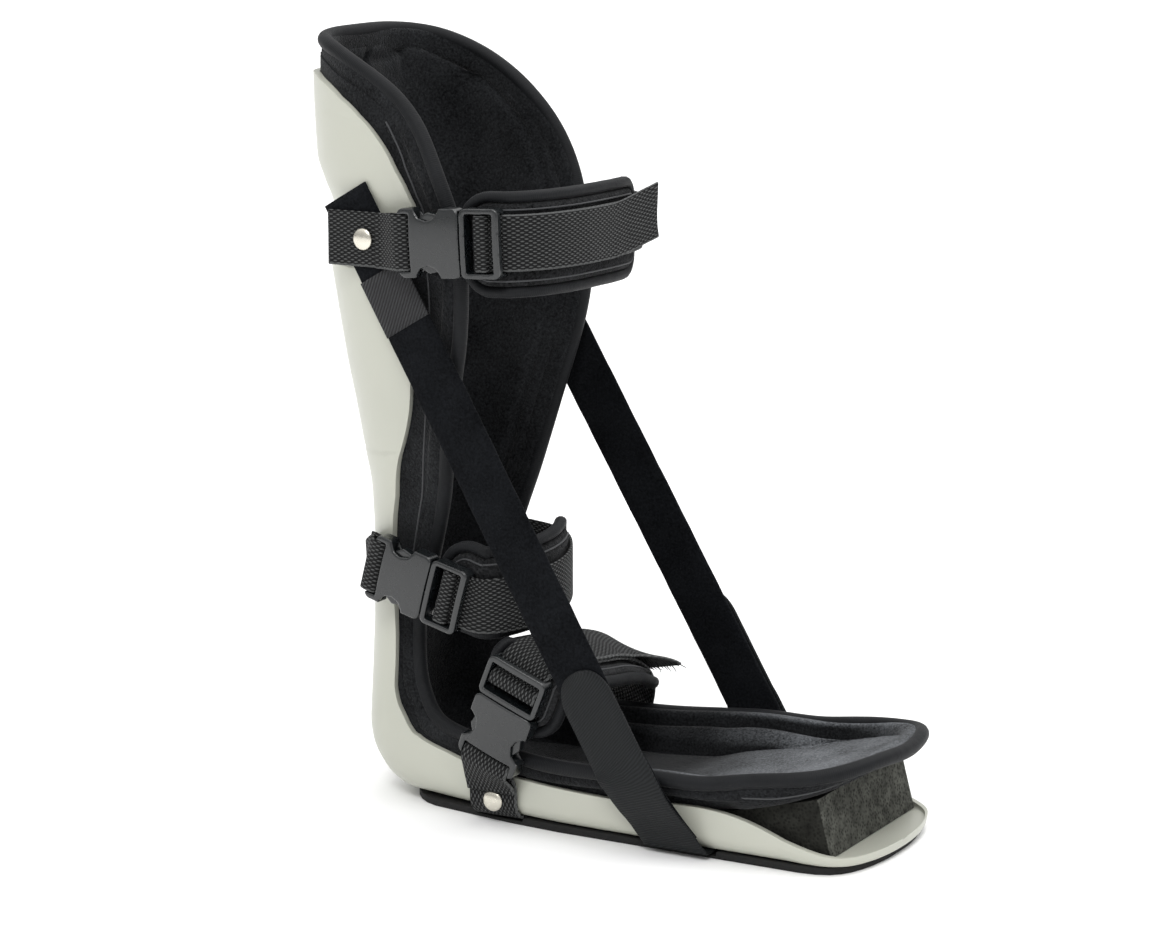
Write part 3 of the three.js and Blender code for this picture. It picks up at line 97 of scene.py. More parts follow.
FRAME_PIXELS = 1170
PIXELS_PER_MM = 2.18
SENSOR_WIDTH = 36.0
CAMERA_DISTANCE = 1.6
CAMERA_TARGET = Vector((0.060, 0.0, 0.159))
AZIMUTH = math.radians(29.3)
ELEVATION = math.radians(11.4)
FLOOR_REACH = 14.0
SKY_LOW = 0.35


def add_object(name, data):
    made = bpy.data.objects.new(name, data)
    bpy.context.scene.collection.objects.link(made)
    return made


def make_camera():
    away = Vector((
        math.sin(AZIMUTH) * math.cos(ELEVATION),
        -math.cos(AZIMUTH) * math.cos(ELEVATION),
        math.sin(ELEVATION),
    ))
    data = bpy.data.cameras.new("camera")
    data.sensor_fit = "HORIZONTAL"
    data.sensor_width = SENSOR_WIDTH
    data.lens = PIXELS_PER_MM * CAMERA_DISTANCE * PER_METRE / FRAME_PIXELS * SENSOR_WIDTH
    data.clip_end = 50.0
    camera = add_object("camera", data)
    camera.location = CAMERA_TARGET + away * CAMERA_DISTANCE
    camera.rotation_euler = (-away).to_track_quat("-Z", "Y").to_euler()
    bpy.context.scene.camera = camera


def sun_light(name, towards, spread_angle, strength):
    data = bpy.data.lights.new(name, "SUN")
    data.angle = math.radians(spread_angle)
    data.energy = strength
    light = add_object(name, data)
    light.location = Vector(towards) * -2
    light.rotation_euler = Vector(towards).to_track_quat("-Z", "Y").to_euler()


# A white studio whose sky is brighter high up, and plain white where the camera sees it.
def make_studio():
    world = bpy.data.worlds.new("studio")
    world.use_nodes = True
    background = world.node_tree.nodes["Background"]
    background.inputs["Color"].default_value = (1.0, 1.0, 1.0, 1.0)
    height = split_axes(add_node(background, "TexCoord").outputs["Generated"])["Z"]
    sky = maths("ADD", spread(height, 0.05, 0.95), SKY_LOW)
    seen = add_node(background, "LightPath").outputs["Is Camera Ray"]
    feed(background.inputs["Strength"], maths("MAXIMUM", sky, seen))
    bpy.context.scene.world = world
    bpy.context.scene.view_settings.view_transform = "Standard"
    sun_light("key", (-0.25, 0.75, -0.80), 18.0, 1.0)
    sun_light("top", (-0.30, -0.30, -1.0), 60.0, 1.1)
    mesh = bpy.data.meshes.new("floor")
    corners = [(x * FLOOR_REACH, y * FLOOR_REACH, 0) for x, y in ((-1, -1), (1, -1), (1, 1), (-1, 1))]
    mesh.from_pydata(corners, [], [(0, 1, 2, 3)])
    shader = new_material("floor_white", (0.96, 0.96, 0.96), 0.9)
    tint(shader, noise(shader, 3.0, 2.0), (0.95, 0.95, 0.95), (0.97, 0.97, 0.97))
    mesh.materials.append(looks["floor_white"])
    floor = add_object("floor", mesh)


# Materials

def new_material(name, color, roughness, sheen=0.0, metallic=0.0, specular=0.5, coat=0.0, coat_rough=0.3):
    material = bpy.data.materials.new(f"dressed_{name}")
    material.use_nodes = True
    looks[name] = material
    shader = material.node_tree.nodes["Principled BSDF"]
    for socket, value in (
            ("Base Color", (*color, 1.0)), ("Roughness", roughness), ("Metallic", metallic),
            ("Specular IOR Level", specular), ("Sheen Weight", sheen), ("Sheen Roughness", 0.4),
            ("Coat Weight", coat), ("Coat Roughness", coat_rough)):
        shader.inputs[socket].default_value = value
    return shader


# Sets an input to a number, or links it to an output.
def feed(socket, value):
    if isinstance(value, bpy.types.NodeSocket):
        socket.id_data.links.new(value, socket)
    else:
        socket.default_value = value


# A new node in the same tree as the given node or socket.
def add_node(near, kind, **inputs):
    node = near.id_data.nodes.new(f"ShaderNode{kind}")
    for name, value in inputs.items():
        feed(node.inputs[name.replace("_", " ")], value)
    return node


def object_place(near):
    found = near.id_data.nodes.get("place") or add_node(near, "TexCoord")
    found.name = "place"
    return found.outputs["Object"]


def noise(near, per_metre, detail, rough=0.5):
    node = add_node(near, "TexNoise", Scale=per_metre, Detail=detail, Roughness=rough,
                    Vector=object_place(near))
    return node.outputs["Fac"]


def cells(near, per_metre):
    return add_node(near, "TexVoronoi", Scale=per_metre, Vector=object_place(near)).outputs["Distance"]


def maths(kind, first, second=0.0):
    node = add_node(first, "Math")
    node.operation = kind
    feed(node.inputs[0], first)
    feed(node.inputs[1], second)
    return node.outputs["Value"]


def times(first, second):
    return maths("MULTIPLY", first, second)


# A wave in a value, with its length in the value's own unit.
def wave_of(kind, value, length):
    return maths(kind, times(value, 2 * math.pi / length))


def spread(value, low, high):
    return add_node(value, "MapRange", Value=value, From_Min=low, From_Max=high).outputs["Result"]


# A share from 0 to 1 brought to the range from low to 1.
def raised(share, low):
    return maths("ADD", times(share, 1 - low), low)


def split_axes(vector):
    return add_node(vector, "SeparateXYZ", Vector=vector).outputs


def tint(shader, value, dark, light):
    ramp = add_node(shader, "ValToRGB", Fac=value)
    ramp.color_ramp.elements[0].color = (*dark, 1.0)
    ramp.color_ramp.elements[1].color = (*light, 1.0)
    feed(shader.inputs["Base Color"], ramp.outputs["Color"])


def bump(shader, height, distance, strength=1.0):
    node = add_node(shader, "Bump", Distance=distance, Strength=strength, Height=height)
    before = shader.inputs["Normal"].links
    if before:
        feed(node.inputs["Normal"], before[0].from_socket)
    feed(shader.inputs["Normal"], node.outputs["Normal"])


def roughen(shader, value, low, high):
    node = add_node(shader, "MapRange", Value=value, To_Min=low, To_Max=high)
    feed(shader.inputs["Roughness"], node.outputs["Result"])


# The places along a strip and across it, in millimetres.
def weave_axes(near):
    node = add_node(near, "UVMap")
    node.uv_map = "weave"
    axes = split_axes(node.outputs["UV"])
    return axes["X"], axes["Y"]


# Ribs across a strip, slanted by a share of the way across.
def ribs_of(near, slant, length):
    along, side = weave_axes(near)
    return wave_of("SINE", maths("ADD", along, times(side, slant)), length)


# The share of a surface that faces along an axis, from low to 1; the lining and the foam use it for
# painted light.
def facing(near, axis, low):
    normal = add_node(near, "NewGeometry").outputs["Normal"]
    return raised(spread(split_axes(normal)[axis], 0.25, 0.95), low)


# Painted light: lighter on the lining's upward faces at the toe end, where more light falls, from low to
# 1.
def toe_top_painted_light(near, low):
    place = split_axes(object_place(near))["X"]
    return raised(times(spread(place, 0.10, 0.16), facing(near, "Z", 0.0)), low)


def napped(name, dark, light, pile, sheen, depth, level=1.0):
    shader = new_material(name, light, 0.95, sheen=sheen, specular=0.06)
    fibres = noise(shader, pile, 3.0, 0.7)
    patches = noise(shader, 45.0, 3.0)
    both = maths("ADD", times(fibres, 0.7), times(patches, 0.3))
    # Painted light: the speckle is scaled down everywhere but on the upward toe faces, so the rest stays
    # dark as painted shade; level is how much of it is left there.
    tint(shader, times(spread(both, 0.33, 0.67), toe_top_painted_light(shader, level)), dark, light)
    bump(shader, fibres, depth)
    bump(shader, patches, 2.0 * depth, 0.5)


def hard_materials():
    shader = new_material("shell_plastic", (0.465, 0.472, 0.408), 0.36, coat=0.12)
    clouds = spread(noise(shader, 14.0, 3.0), 0.3, 0.7)
    tint(shader, clouds, (0.450, 0.457, 0.395), (0.482, 0.489, 0.422))
    roughen(shader, noise(shader, 60.0, 4.0), 0.30, 0.46)
    bump(shader, noise(shader, 1600.0, 2.0), 0.00004, 0.6)
    bump(shader, noise(shader, 22.0, 1.0), 0.0005, 0.35)

    shader = new_material("tread_rubber", (0.012, 0.012, 0.012), 0.8, specular=0.3)
    tint(shader, noise(shader, 300.0, 4.0), (0.008, 0.008, 0.008), (0.018, 0.018, 0.018))
    bump(shader, noise(shader, 900.0, 3.0), 0.0002)

    shader = new_material("wedge_foam", (0.03, 0.03, 0.025), 0.95, specular=0.15)
    pores = cells(shader, 620.0)
    mottled = times(spread(pores, 0.0, 0.55), spread(noise(shader, 160.0, 4.0), 0.1, 0.7))
    # Painted light: the face toward the toes is painted lighter and the other faces darker, as the light
    # falls; the pores and mottling are the foam's own texture.
    tint(shader, times(mottled, facing(shader, "X", 0.2)), (0.006, 0.006, 0.005), (0.105, 0.107, 0.093))
    bump(shader, pores, 0.0006)

    shader = new_material("buckle_plastic", (0.010, 0.012, 0.013), 0.26, coat=0.5, coat_rough=0.14)
    roughen(shader, noise(shader, 220.0, 3.0), 0.20, 0.36)
    tint(shader, noise(shader, 50.0, 2.0), (0.0045, 0.0058, 0.0066), (0.0075, 0.0092, 0.0102))
    bump(shader, noise(shader, 3500.0, 1.0), 0.00003, 0.5)

    shader = new_material("rivet_metal", (0.72, 0.69, 0.60), 0.27, metallic=1.0)
    roughen(shader, noise(shader, 700.0, 3.0), 0.20, 0.38)
    tint(shader, noise(shader, 240.0, 3.0), (0.60, 0.57, 0.49), (0.78, 0.75, 0.66))
    bump(shader, noise(shader, 900.0, 2.0), 0.00004, 0.4)


def soft_materials():
    # Painted light: the light colour shows in full only on the upward toe faces; elsewhere the lining goes
    # at most an eighth of the way towards it, as painted shade.
    napped("lining_fleece", (0.0010, 0.0011, 0.0014), (0.20, 0.211, 0.226), 900.0, 0.10, 0.0009, 0.125)
    napped("strap_velour", (0.0010, 0.0012, 0.0016), (0.010, 0.011, 0.013), 900.0, 0.03, 0.0006)
    napped("pad_loop", (0.0008, 0.0009, 0.0010), (0.036, 0.037, 0.039), 800.0, 0.05, 0.0010)

    shader = new_material("binding_fabric", (0.006, 0.0066, 0.008), 0.62, sheen=0.04, specular=0.2)
    wander = noise(shader, 90.0, 3.0)
    tint(shader, wander, (0.0035, 0.0040, 0.0048), (0.0085, 0.0093, 0.011))
    bump(shader, ribs_of(shader, 0.0, 0.9), 0.00005, 0.7)
    bump(shader, wander, 0.0011, 0.5)

    shader = new_material("webbing", (0.018, 0.018, 0.019), 0.72, sheen=0.04, specular=0.2)
    along, side = weave_axes(shader)
    weft, warp = 3.7, 1.87
    knots = times(wave_of("COSINE", along, weft), wave_of("COSINE", side, warp))
    height = maths("ADD", knots, times(wave_of("COSINE", side, warp / 2), 0.25))
    off_middle = maths("ABSOLUTE", maths("SUBTRACT", side, WEBBING / 2))
    # Painted highlight: a lighter line along both edges of the webbing, where its rounded edges catch the
    # light.
    painted_edge_highlight = maths("GREATER_THAN", off_middle, WEBBING / 2 - 0.9)
    light = maths("ADD", spread(height, -0.15, 1.0), times(painted_edge_highlight, 0.7))
    tint(shader, light, (0.0025, 0.0027, 0.0030), (0.105, 0.108, 0.108))
    bump(shader, height, 0.0005)
    bump(shader, noise(shader, 2500.0, 2.0), 0.0001, 0.6)

    shader = new_material("hook_fabric", (0.010, 0.011, 0.012), 0.5, specular=0.22)
    ribs = ribs_of(shader, 0.35, 1.25)
    tint(shader, spread(ribs, -1.0, 1.0), (0.0025, 0.0032, 0.0036), (0.0095, 0.011, 0.012))
    bump(shader, ribs, 0.00010, 0.8)
    bump(shader, noise(shader, 800.0, 2.0), 0.0001, 0.4)

    shader = new_material("sewn_patch", (0.012, 0.012, 0.013), 0.8, sheen=0.05)
    ribs = ribs_of(shader, 0.9, 1.9)
    tint(shader, spread(ribs, -0.8, 1.0), (0.004, 0.004, 0.005), (0.026, 0.027, 0.030))
    bump(shader, ribs, 0.0003)

    shader = new_material("welt_cord", (0.05, 0.052, 0.054), 0.7, sheen=0.1)
    tint(shader, noise(shader, 2200.0, 2.0), (0.022, 0.023, 0.025), (0.060, 0.062, 0.066))


# Meshes

# Adds a piece. shape is its points in millimetres, its faces and their places on the strip.
def put(name, shape, slot, replaced=(), weave=False, sharp=None, material=None):
    points, faces, uv = shape
    points = points * MM
    if signed_volume(points, faces) < 0:
        faces = [tuple(reversed(face)) for face in faces]
        uv = [tuple(reversed(corners)) for corners in uv] if weave else None
    mesh = bpy.data.meshes.new(name)
    mesh.from_pydata(points.tolist(), [], faces)
    mesh.polygons.foreach_set("use_smooth", [True] * len(mesh.polygons))
    if sharp is not None:
        mesh.set_sharp_from_angle(angle=math.radians(sharp))
    if weave:
        layer = mesh.uv_layers.new(name="weave")
        layer.data.foreach_set("uv", np.array([c for corners in uv for c in corners], float).ravel())
    mesh.materials.append(looks[material or slot])
    piece = add_object(name, mesh)
    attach(piece, "root")
    if replaced:
        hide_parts(*replaced)
    return piece


def signed_volume(points, faces):
    total = 0.0
    for face in faces:
        a = points[face[0]]
        for k in range(1, len(face) - 1):
            total += float(np.dot(a, np.cross(points[face[k]], points[face[k + 1]])))
    return total


def lengths_along(points):
    return np.concatenate(([0.0], np.cumsum(np.linalg.norm(np.diff(points, axis=0), axis=1))))


# A surface through rings of points. Each ring is closed; the run of rings is closed too, or capped.
def loft(rings, closed=False):
    rings = np.asarray(rings, float)
    count, around = rings.shape[:2]
    middles = rings.mean(axis=1)
    along = lengths_along(middles)
    along = np.append(along, along[-1] + np.linalg.norm(middles[0] - middles[-1]))
    girth = np.linalg.norm(np.roll(rings, -1, axis=1) - rings, axis=2).mean(axis=0)
    round_ = np.concatenate(([0.0], np.cumsum(girth)))
    faces, uv = [], []
    for i in range(count if closed else count - 1):
        for j in range(around):
            n, m = (i + 1) % count, (j + 1) % around
            faces.append((i * around + j, i * around + m, n * around + m, n * around + j))
            uv.append(((along[i], round_[j]), (along[i], round_[j + 1]),
                       (along[i + 1], round_[j + 1]), (along[i + 1], round_[j])))
    if not closed:
        for i, row in ((0, range(around - 1, -1, -1)), (count - 1, range(around))):
            ids = tuple(i * around + j for j in row)
            faces.append(ids)
            uv.append(tuple((along[i], round_[j]) for j in row))
    return rings.reshape(-1, 3), faces, uv


def unit(vectors):
    return vectors / np.linalg.norm(vectors, axis=-1, keepdims=True)


# A soft unevenness from a few waves, the same each time. size is the length of its waves.
def ripple(points, size, phase=0.0):
    p = points * (2 * math.pi / size)
    x, y, z = p[..., 0], p[..., 1], p[..., 2]
    return (np.sin(x + 1.7 * np.sin(0.6 * y + phase)) * np.sin(0.9 * z + 0.8 * np.sin(0.7 * x + 2 * phase))
            + 0.6 * np.sin(1.9 * y + 1.3 * z + phase) * np.sin(1.4 * x - 0.8 * z + 1.1)) / 1.6


# The gutter's tables: the same shapes as the frame's solids, with finer steps. The values are shares.
# Foot: along, half width, wall, corner, then rim and flare where they are given.

FOOT_ROWS = [
    (0.9990, 0.20, 0.180, 0.50), (0.9965, 0.34, 0.190, 0.50), (0.9910, 0.50, 0.200, 0.50),
    (0.9830, 0.64, 0.205, 0.55), (0.9730, 0.76, 0.210, 0.60), (0.9600, 0.85, 0.220, 0.60),
    (0.9420, 0.92, 0.240, 0.65), (0.9150, 0.97, 0.290, 0.70), (0.8800, 0.99, 0.385, 0.80),
    (0.8400, 1.00, 0.530, 1.00), (0.7950, 1.00, 0.735, 1.00), (0.7500, 1.00, 0.875, 1.00),
    (0.7050, 1.000, 0.955, 1.00, 1.38, 0.120), (0.6370, 1.000, 1.000, 1.00, 1.43, 0.135),
    (0.5600, 1.000, 0.915, 1.00, 1.42, 0.135), (0.4700, 1.000, 0.845, 1.00, 1.32, 0.120),
    (0.3400, 0.995, 0.880, 1.05, 1.18, 0.070), (0.2200, 0.960, 0.960, 1.20, 1.17, 0.030),
    (0.0900, 0.900, 1.090, 1.70, 1.26, 0.005),
]
# Heel, round the bend: degrees turned, degrees of lean, half width, wall, corner.
HEEL_ROWS = [
    (0, 17, 0.865, 1.50, 0.40), (25, 28, 0.855, 1.88, 0.50), (45, 35, 0.85, 2.02, 0.56),
    (67, 39, 0.85, 2.00, 0.60), (90, 43, 0.85, 1.83, 0.63),
]
# Ankle: rise, degrees of lean, half width, wall, corner.
ANKLE_ROWS = [
    (0.20, 50, 1.010, 1.62, 0.63), (0.42, 60, 1.005, 1.39, 0.63), (0.66, 73, 1.000, 1.23, 0.63),
]
# Leg: height, back, half width, edge, rim, corner, flare.
LEG_ROWS = [
    (0.3380, 0.593, 0.722, -0.311, -0.120, 0.63, 0.0), (0.4300, 0.616, 0.750, -0.262, 0.022, 0.70, 0.02),
    (0.4850, 0.665, 0.792, -0.163, 0.088, 0.76, 0.035), (0.5450, 0.719, 0.842, -0.045, 0.153, 0.83, 0.05),
    (0.6030, 0.770, 0.900, 0.000, 0.230, 0.89, 0.05), (0.6620, 0.812, 0.947, 0.030, 0.301, 0.93, 0.05),
    (0.7425, 0.874, 0.990, 0.059, 0.340, 0.98, 0.05), (0.7485, 0.841, 0.953, 0.062, 0.338, 0.94, 0.05),
    (0.8160, 0.849, 0.958, 0.074, 0.263, 0.94, 0.05), (0.8500, 0.911, 0.990, 0.045, 0.208, 0.98, 0.05),
    (0.8850, 0.975, 1.000, -0.059, 0.142, 1.00, 0.04), (0.9150, 0.985, 1.000, -0.170, 0.033, 1.00, 0.02),
    (0.9450, 0.993, 1.000, -0.307, -0.088, 1.00, 0.0), (0.9680, 0.997, 1.000, -0.444, -0.230, 1.00, 0.0),
    (0.9850, 0.999, 1.000, -0.614, -0.384, 1.00, 0.0), (0.9960, 1.000, 1.000, -0.833, -0.515, 1.00, 0.0),
    (1.0100, 1.000, 1.000, None, -0.680, 1.00, 0.0), (1.0200, 1.000, 1.000, None, -0.860, 1.00, 0.0),
]
# The liner's toe end: along, half width, wall, lift.
LINER_TOE_ROWS = [
    (1.000, 0.24, 0.10, 0.62), (0.994, 0.42, 0.10, 0.58), (0.982, 0.60, 0.11, 0.48),
    (0.963, 0.76, 0.12, 0.34), (0.935, 0.89, 0.14, 0.18), (0.895, 0.98, 0.17, 0.07),
    (0.845, 1.04, 0.24, 0.0), (0.785, 1.05, 0.38, 0.0),
]
SECTION = ("x", "z", "lean", "slant", "half", "corner", "depth")
COLUMNS = (*SECTION, "rim", "flare")

def shell_rows():
    rows = []
    for along, half, wall, corner, *more in FOOT_ROWS:
        rim, flare = more if more else (None, 0.0)
        rows.append((along * TOE_REACH, SOLE_TOP, 0.0, 1.0, half * SOLE_HALF, corner * SOLE_CORNER,
                     wall * FOOT_WALL, rim and rim * FOOT_WALL, flare * SOLE_HALF))
    for turn, lean, half, wall, corner in HEEL_ROWS:
        angle = math.radians(turn)
        rows.append((BEND_X - HEEL_BEND * math.sin(angle), BEND_Z - HEEL_BEND * math.cos(angle), lean,
                     math.cos(math.radians(turn - lean)), half * SOLE_HALF, corner * CALF_CORNER,
                     wall * FOOT_WALL, wall * FOOT_WALL + LINER_OVERLAP, 0.0))
    for rise, lean, half, wall, corner in ANKLE_ROWS:
        rows.append((-HEEL_REACH + rise * (HEEL_REACH - LEG_ROWS[0][1] * CALF_BACK),
                     BEND_Z + rise * (ANKLE_HEIGHT - BEND_Z), lean, math.cos(math.radians(90 - lean)),
                     half * ANKLE_HALF, corner * CALF_CORNER, wall * FOOT_WALL,
                     wall * FOOT_WALL + LINER_OVERLAP, 0.0))
    for height, back, half, edge, rim, corner, flare in LEG_ROWS:
        rows.append((-back * CALF_BACK, height * SHELL_HEIGHT, 90.0, 1.0, half * CALF_HALF,
                     corner * CALF_CORNER, None if edge is None else (edge + back) * CALF_BACK,
                     (rim + back) * CALF_BACK, flare * CALF_HALF))
    return [dict(zip(COLUMNS, row)) for row in rows]


def liner_lift(x):
    slope = WEDGE_HEIGHT / (WEDGE_FRONT - WEDGE_LEAN - WEDGE_BACK)
    return max(0.0, 3 * GAP + slope * (x - WEDGE_BACK))


def liner_rows():
    rows = []
    for along, half, wall, lift in LINER_TOE_ROWS:
        x = along * LINER_TOE
        rows.append(dict(x=x, z=SOLE_TOP + liner_lift(x) + lift * LINER_THICKNESS, lean=0.0, slant=1.0,
                         half=half * SOLE_HALF + LINER_INSET, corner=SOLE_CORNER + LINER_INSET,
                         depth=wall * FOOT_WALL, flare=0.0, start=0.0))
    for row in shell_rows()[12:]:
        base = LINER_INSET / row["slant"]
        lift = liner_lift(row["x"]) if row["lean"] == 0 else 0.0
        depth = row["rim"] - base - lift
        rows.append({**row, "z": row["z"] + lift, "depth": depth,
                     "start": max(0.0, (row["depth"] or 0.0) - base - lift + 1)})
    return rows


# Values of table rows at places between them, smooth and without overshoot.
def smooth_column(values, places):
    values = np.asarray(values, float)
    steps = np.diff(values)
    slopes = np.concatenate(([steps[0]], np.zeros(len(values) - 2), [steps[-1]]))
    same = steps[:-1] * steps[1:] > 0
    total = np.where(same, steps[:-1] + steps[1:], 1.0)
    slopes[1:-1] = np.where(same, 2 * steps[:-1] * steps[1:] / total, 0.0)
    at = np.clip(np.floor(places).astype(int), 0, len(values) - 2)
    f = places - at
    return ((1 + 2 * f) * (1 - f) ** 2 * values[at] + f * (1 - f) ** 2 * slopes[at]
            + f * f * (3 - 2 * f) * values[at + 1] + f * f * (f - 1) * slopes[at + 1])


def finer(rows, step, names):
    places = [0.0]
    for i in range(len(rows) - 1):
        a, b = rows[i], rows[i + 1]
        reach = math.dist((a["x"], a["z"], a["half"]), (b["x"], b["z"], b["half"]))
        count = max(2, math.ceil(reach / step))
        places.extend(i + (k + 1) / count for k in range(count))
    places = np.array(places)
    return {name: smooth_column([row[name] for row in rows], places) for name in names}


def smooth_step(value):
    value = np.clip(value, 0, 1)
    return value * value * (3 - 2 * value)


def bell(reach):
    kernel = np.exp(-0.5 * (np.arange(-3 * reach, 3 * reach + 1) / reach) ** 2)
    return kernel / kernel.sum()


def soften(values, reach):
    padded = np.pad(values, 3 * reach, mode="reflect", reflect_type="odd")
    return np.convolve(padded, bell(reach), mode="valid")


# The corner and the wall of a section: the corner's angle and the rise above it, at each point.
def corner_steps(radius, depth, arc_steps, wall_steps):
    if depth >= radius:
        angles = np.linspace(0, math.pi / 2, arc_steps + 1)
        rises = np.linspace(0, depth - radius, wall_steps + 1)[1:]
        angles = np.concatenate((angles, np.full(wall_steps, math.pi / 2)))
        return angles, np.concatenate((np.zeros(arc_steps + 1), rises))
    whole = math.acos(1 - min(radius, 0.75 * depth) / radius)
    levels = np.linspace(radius * (1 - math.cos(whole)), depth, wall_steps + 1)[1:]
    angles = np.concatenate((np.linspace(0, whole, arc_steps + 1), np.arccos(1 - levels / radius)))
    return angles, np.zeros(len(angles))


# Points of U sections: outer and inner faces, from one wall's top round the base to the other's.
def gutter_points(rows, inset, thickness, arc_steps, wall_steps, flat_steps):
    outer, inner = [], []
    for i in range(len(rows["x"])):
        row = {name: values[i] for name, values in rows.items()}
        half = row["half"] - inset
        radius = max(row["corner"] - inset, thickness + 0.5)
        base = inset / row["slant"]
        extra = thickness / row["slant"] - thickness
        depth = max(row["depth"], 0.5)
        angles, rises = corner_steps(radius, depth, arc_steps, wall_steps)
        levels = radius * (1 - np.cos(angles)) + rises
        start = row.get("start", 0.0)
        lean = row.get("flare", 0.0) * (np.clip(levels - start, 0, None) / max(depth - start, 1.0)) ** 2
        flats = (half - radius) * np.linspace(0, 1, flat_steps + 1)[:-1]
        wall_y = half - radius + radius * np.sin(angles) + lean
        wall_n = base + radius - radius * np.cos(angles) + rises
        in_y = half - radius + (radius - thickness) * np.sin(angles) + lean
        in_n = base + extra * np.cos(angles) + radius - (radius - thickness) * np.cos(angles) + rises
        lean_angle = math.radians(row["lean"])
        toward = np.array((math.sin(lean_angle), 0.0, math.cos(lean_angle)))
        for target, y, n, floor in ((outer, wall_y, wall_n, base),
                                    (inner, in_y, in_n, base + thickness / row["slant"])):
            y = np.concatenate((flats, y))
            n = np.concatenate((np.full(flat_steps, floor), n))
            y = np.concatenate((-y[:0:-1], y))
            n = np.concatenate((n[:0:-1], n))
            points = np.array((row["x"], 0.0, row["z"])) + n[:, None] * toward
            points[:, 1] = y
            target.append(points)
    return np.array(outer), np.array(inner)


def ring_of(outer, inner):
    return np.concatenate((outer, inner[:, ::-1]), axis=1)


def bevel(piece, width, degrees):
    edge = piece.modifiers.new("edge", "BEVEL")
    edge.width = width
    edge.segments = 3
    edge.limit_method = "ANGLE"
    edge.angle_limit = math.radians(degrees)
    edge.use_clamp_overlap = True
    return edge


def build_shell():
    rows = [row for row in shell_rows() if row["depth"] is not None]
    tip = dict(rows[0])
    tip.update(x=TOE_REACH * 0.9999, half=SOLE_HALF * 0.08)
    table = finer([tip, *rows], 3.2, SECTION)
    heel = smooth_step((30 - table["x"]) / 20) * smooth_step((170 - table["z"]) / 30)
    table["depth"] = soften(table["depth"], 3) * (1 - heel) + soften(table["depth"], 7) * heel
    outer, inner = gutter_points(table, 0.0, SHELL_WALL, 8, 6, 5)
    shell = put("shell_smooth", loft(ring_of(outer, inner)), "shell_plastic", ["shell"])
    bevel(shell, 0.0009, 50)


# The liner's relief: soft puffs that grow in from the rim, a raised panel behind a groove beside the rim,
# the seams, and the toe bed, which is filled to a little under the rim.
PUFF_REACH = 14.0
PANEL_START, PANEL_REACH, PANEL_RISE = 6.5, 4.0, 1.5
GROOVE_PLACE, GROOVE_WIDTH, GROOVE_DEPTH = 6.0, 1.6, 1.3
RELIEF_START = 60
BED_START, BED_DEPTH, BED_SHALLOWER, BED_BLEND = 60, 13.0, 8.5, 6.0
# Where the lining's long seams lie beside the middle, by height, and the dart at the top of the calf.
SEAM_HEIGHTS = (40.0, 110.0, 150.0, 230.0, 300.0, 350.0)
SEAM_SIDES = (15.0, 15.0, 16.0, 32.0, 28.5, 27.0)
SEAM_WIDTH, SEAM_DEPTH = 1.5, 2.0
DART_START, DART_TOP, DART_SIDE, DART_WIDTH = 322, 352, 5, 1.6


# The share of the seams' depth at each point.
def seam_share(points):
    side = np.interp(points[..., 2], SEAM_HEIGHTS, SEAM_SIDES)
    fade = np.clip((points[..., 2] - RELIEF_START) / 25, 0, 1)
    long_seams = fade * np.exp(-((np.abs(points[..., 1]) - side) / SEAM_WIDTH) ** 2)
    off_dart = points[..., 1] - DART_SIDE + 0.25 * (DART_TOP - points[..., 2])
    dart = np.clip((points[..., 2] - DART_START) / 12, 0, 1) * np.exp(-(off_dart / DART_WIDTH) ** 2)
    return np.where(points[..., 0] < 0, np.maximum(long_seams, dart), long_seams)


def grid_normals(grid):
    down = np.gradient(grid, axis=0)
    across = np.gradient(grid, axis=1)
    return unit(np.cross(down, across) + 1e-9)


# Each grid point's distance from the rim, along the surface.
def rim_distance(grid):
    distance = np.full(grid.shape[:2], np.inf)
    for axis in (0, 1):
        steps = np.linalg.norm(np.diff(grid, axis=axis), axis=2)
        start = np.zeros_like(np.take(steps, [0], axis=axis))
        gone = np.concatenate((start, np.cumsum(steps, axis=axis)), axis=axis)
        left = np.take(gone, [-1], axis=axis) - gone
        distance = np.minimum(distance, np.minimum(gone, left))
    return distance


# The liner's inner face with its cushioned panels, seams and filled toe bed.
def cushioned(outer, inner):
    normals = grid_normals(inner)
    sign = np.sign((normals * (inner - outer)).sum(axis=2, keepdims=True))
    normals = normals * np.where(sign == 0, 1, sign)
    inside = rim_distance(inner)
    fade = np.clip(inside / PUFF_REACH, 0, 1)
    puff = (0.45 * ripple(inner, 46.0) + 0.2 * ripple(inner, 17.0, 1.3)) * fade
    groove = GROOVE_DEPTH * np.exp(-((inside - GROOVE_PLACE) / GROOVE_WIDTH) ** 2)
    panel = PANEL_RISE * smooth_step((inside - PANEL_START) / PANEL_REACH) - groove
    panel = panel * smooth_step((inner[..., 2] - RELIEF_START) / 30)
    shaped = inner + normals * (puff + panel - SEAM_DEPTH * seam_share(inner))[..., None]
    rim_height = np.maximum(shaped[:, :1, 2], shaped[:, -1:, 2])
    below_rim = BED_DEPTH - BED_SHALLOWER * smooth_step((inner[..., 0] - 95) / 70)
    filled = np.where(inner[..., 0] > BED_START, rim_height - below_rim, -50.0)
    rise = filled - shaped[..., 2]
    shaped[..., 2] += 0.5 * (rise + np.sqrt(rise ** 2 + BED_BLEND))
    return shaped


def build_liner():
    table = finer(liner_rows(), 2.4, (*SECTION, "flare", "start"))
    table["depth"] = soften(table["depth"], 3)
    outer, inner = gutter_points(table, LINER_INSET, LINER_THICKNESS, 18, 20, 18)
    rings = ring_of(outer, cushioned(outer, inner))
    liner = put("liner_padding", loft(rings), "lining_fleece", ["liner"])
    return outer, inner


# Paths

def columns_at(places, lengths, table):
    return np.stack([np.interp(places, lengths, column) for column in table.T], axis=-1)


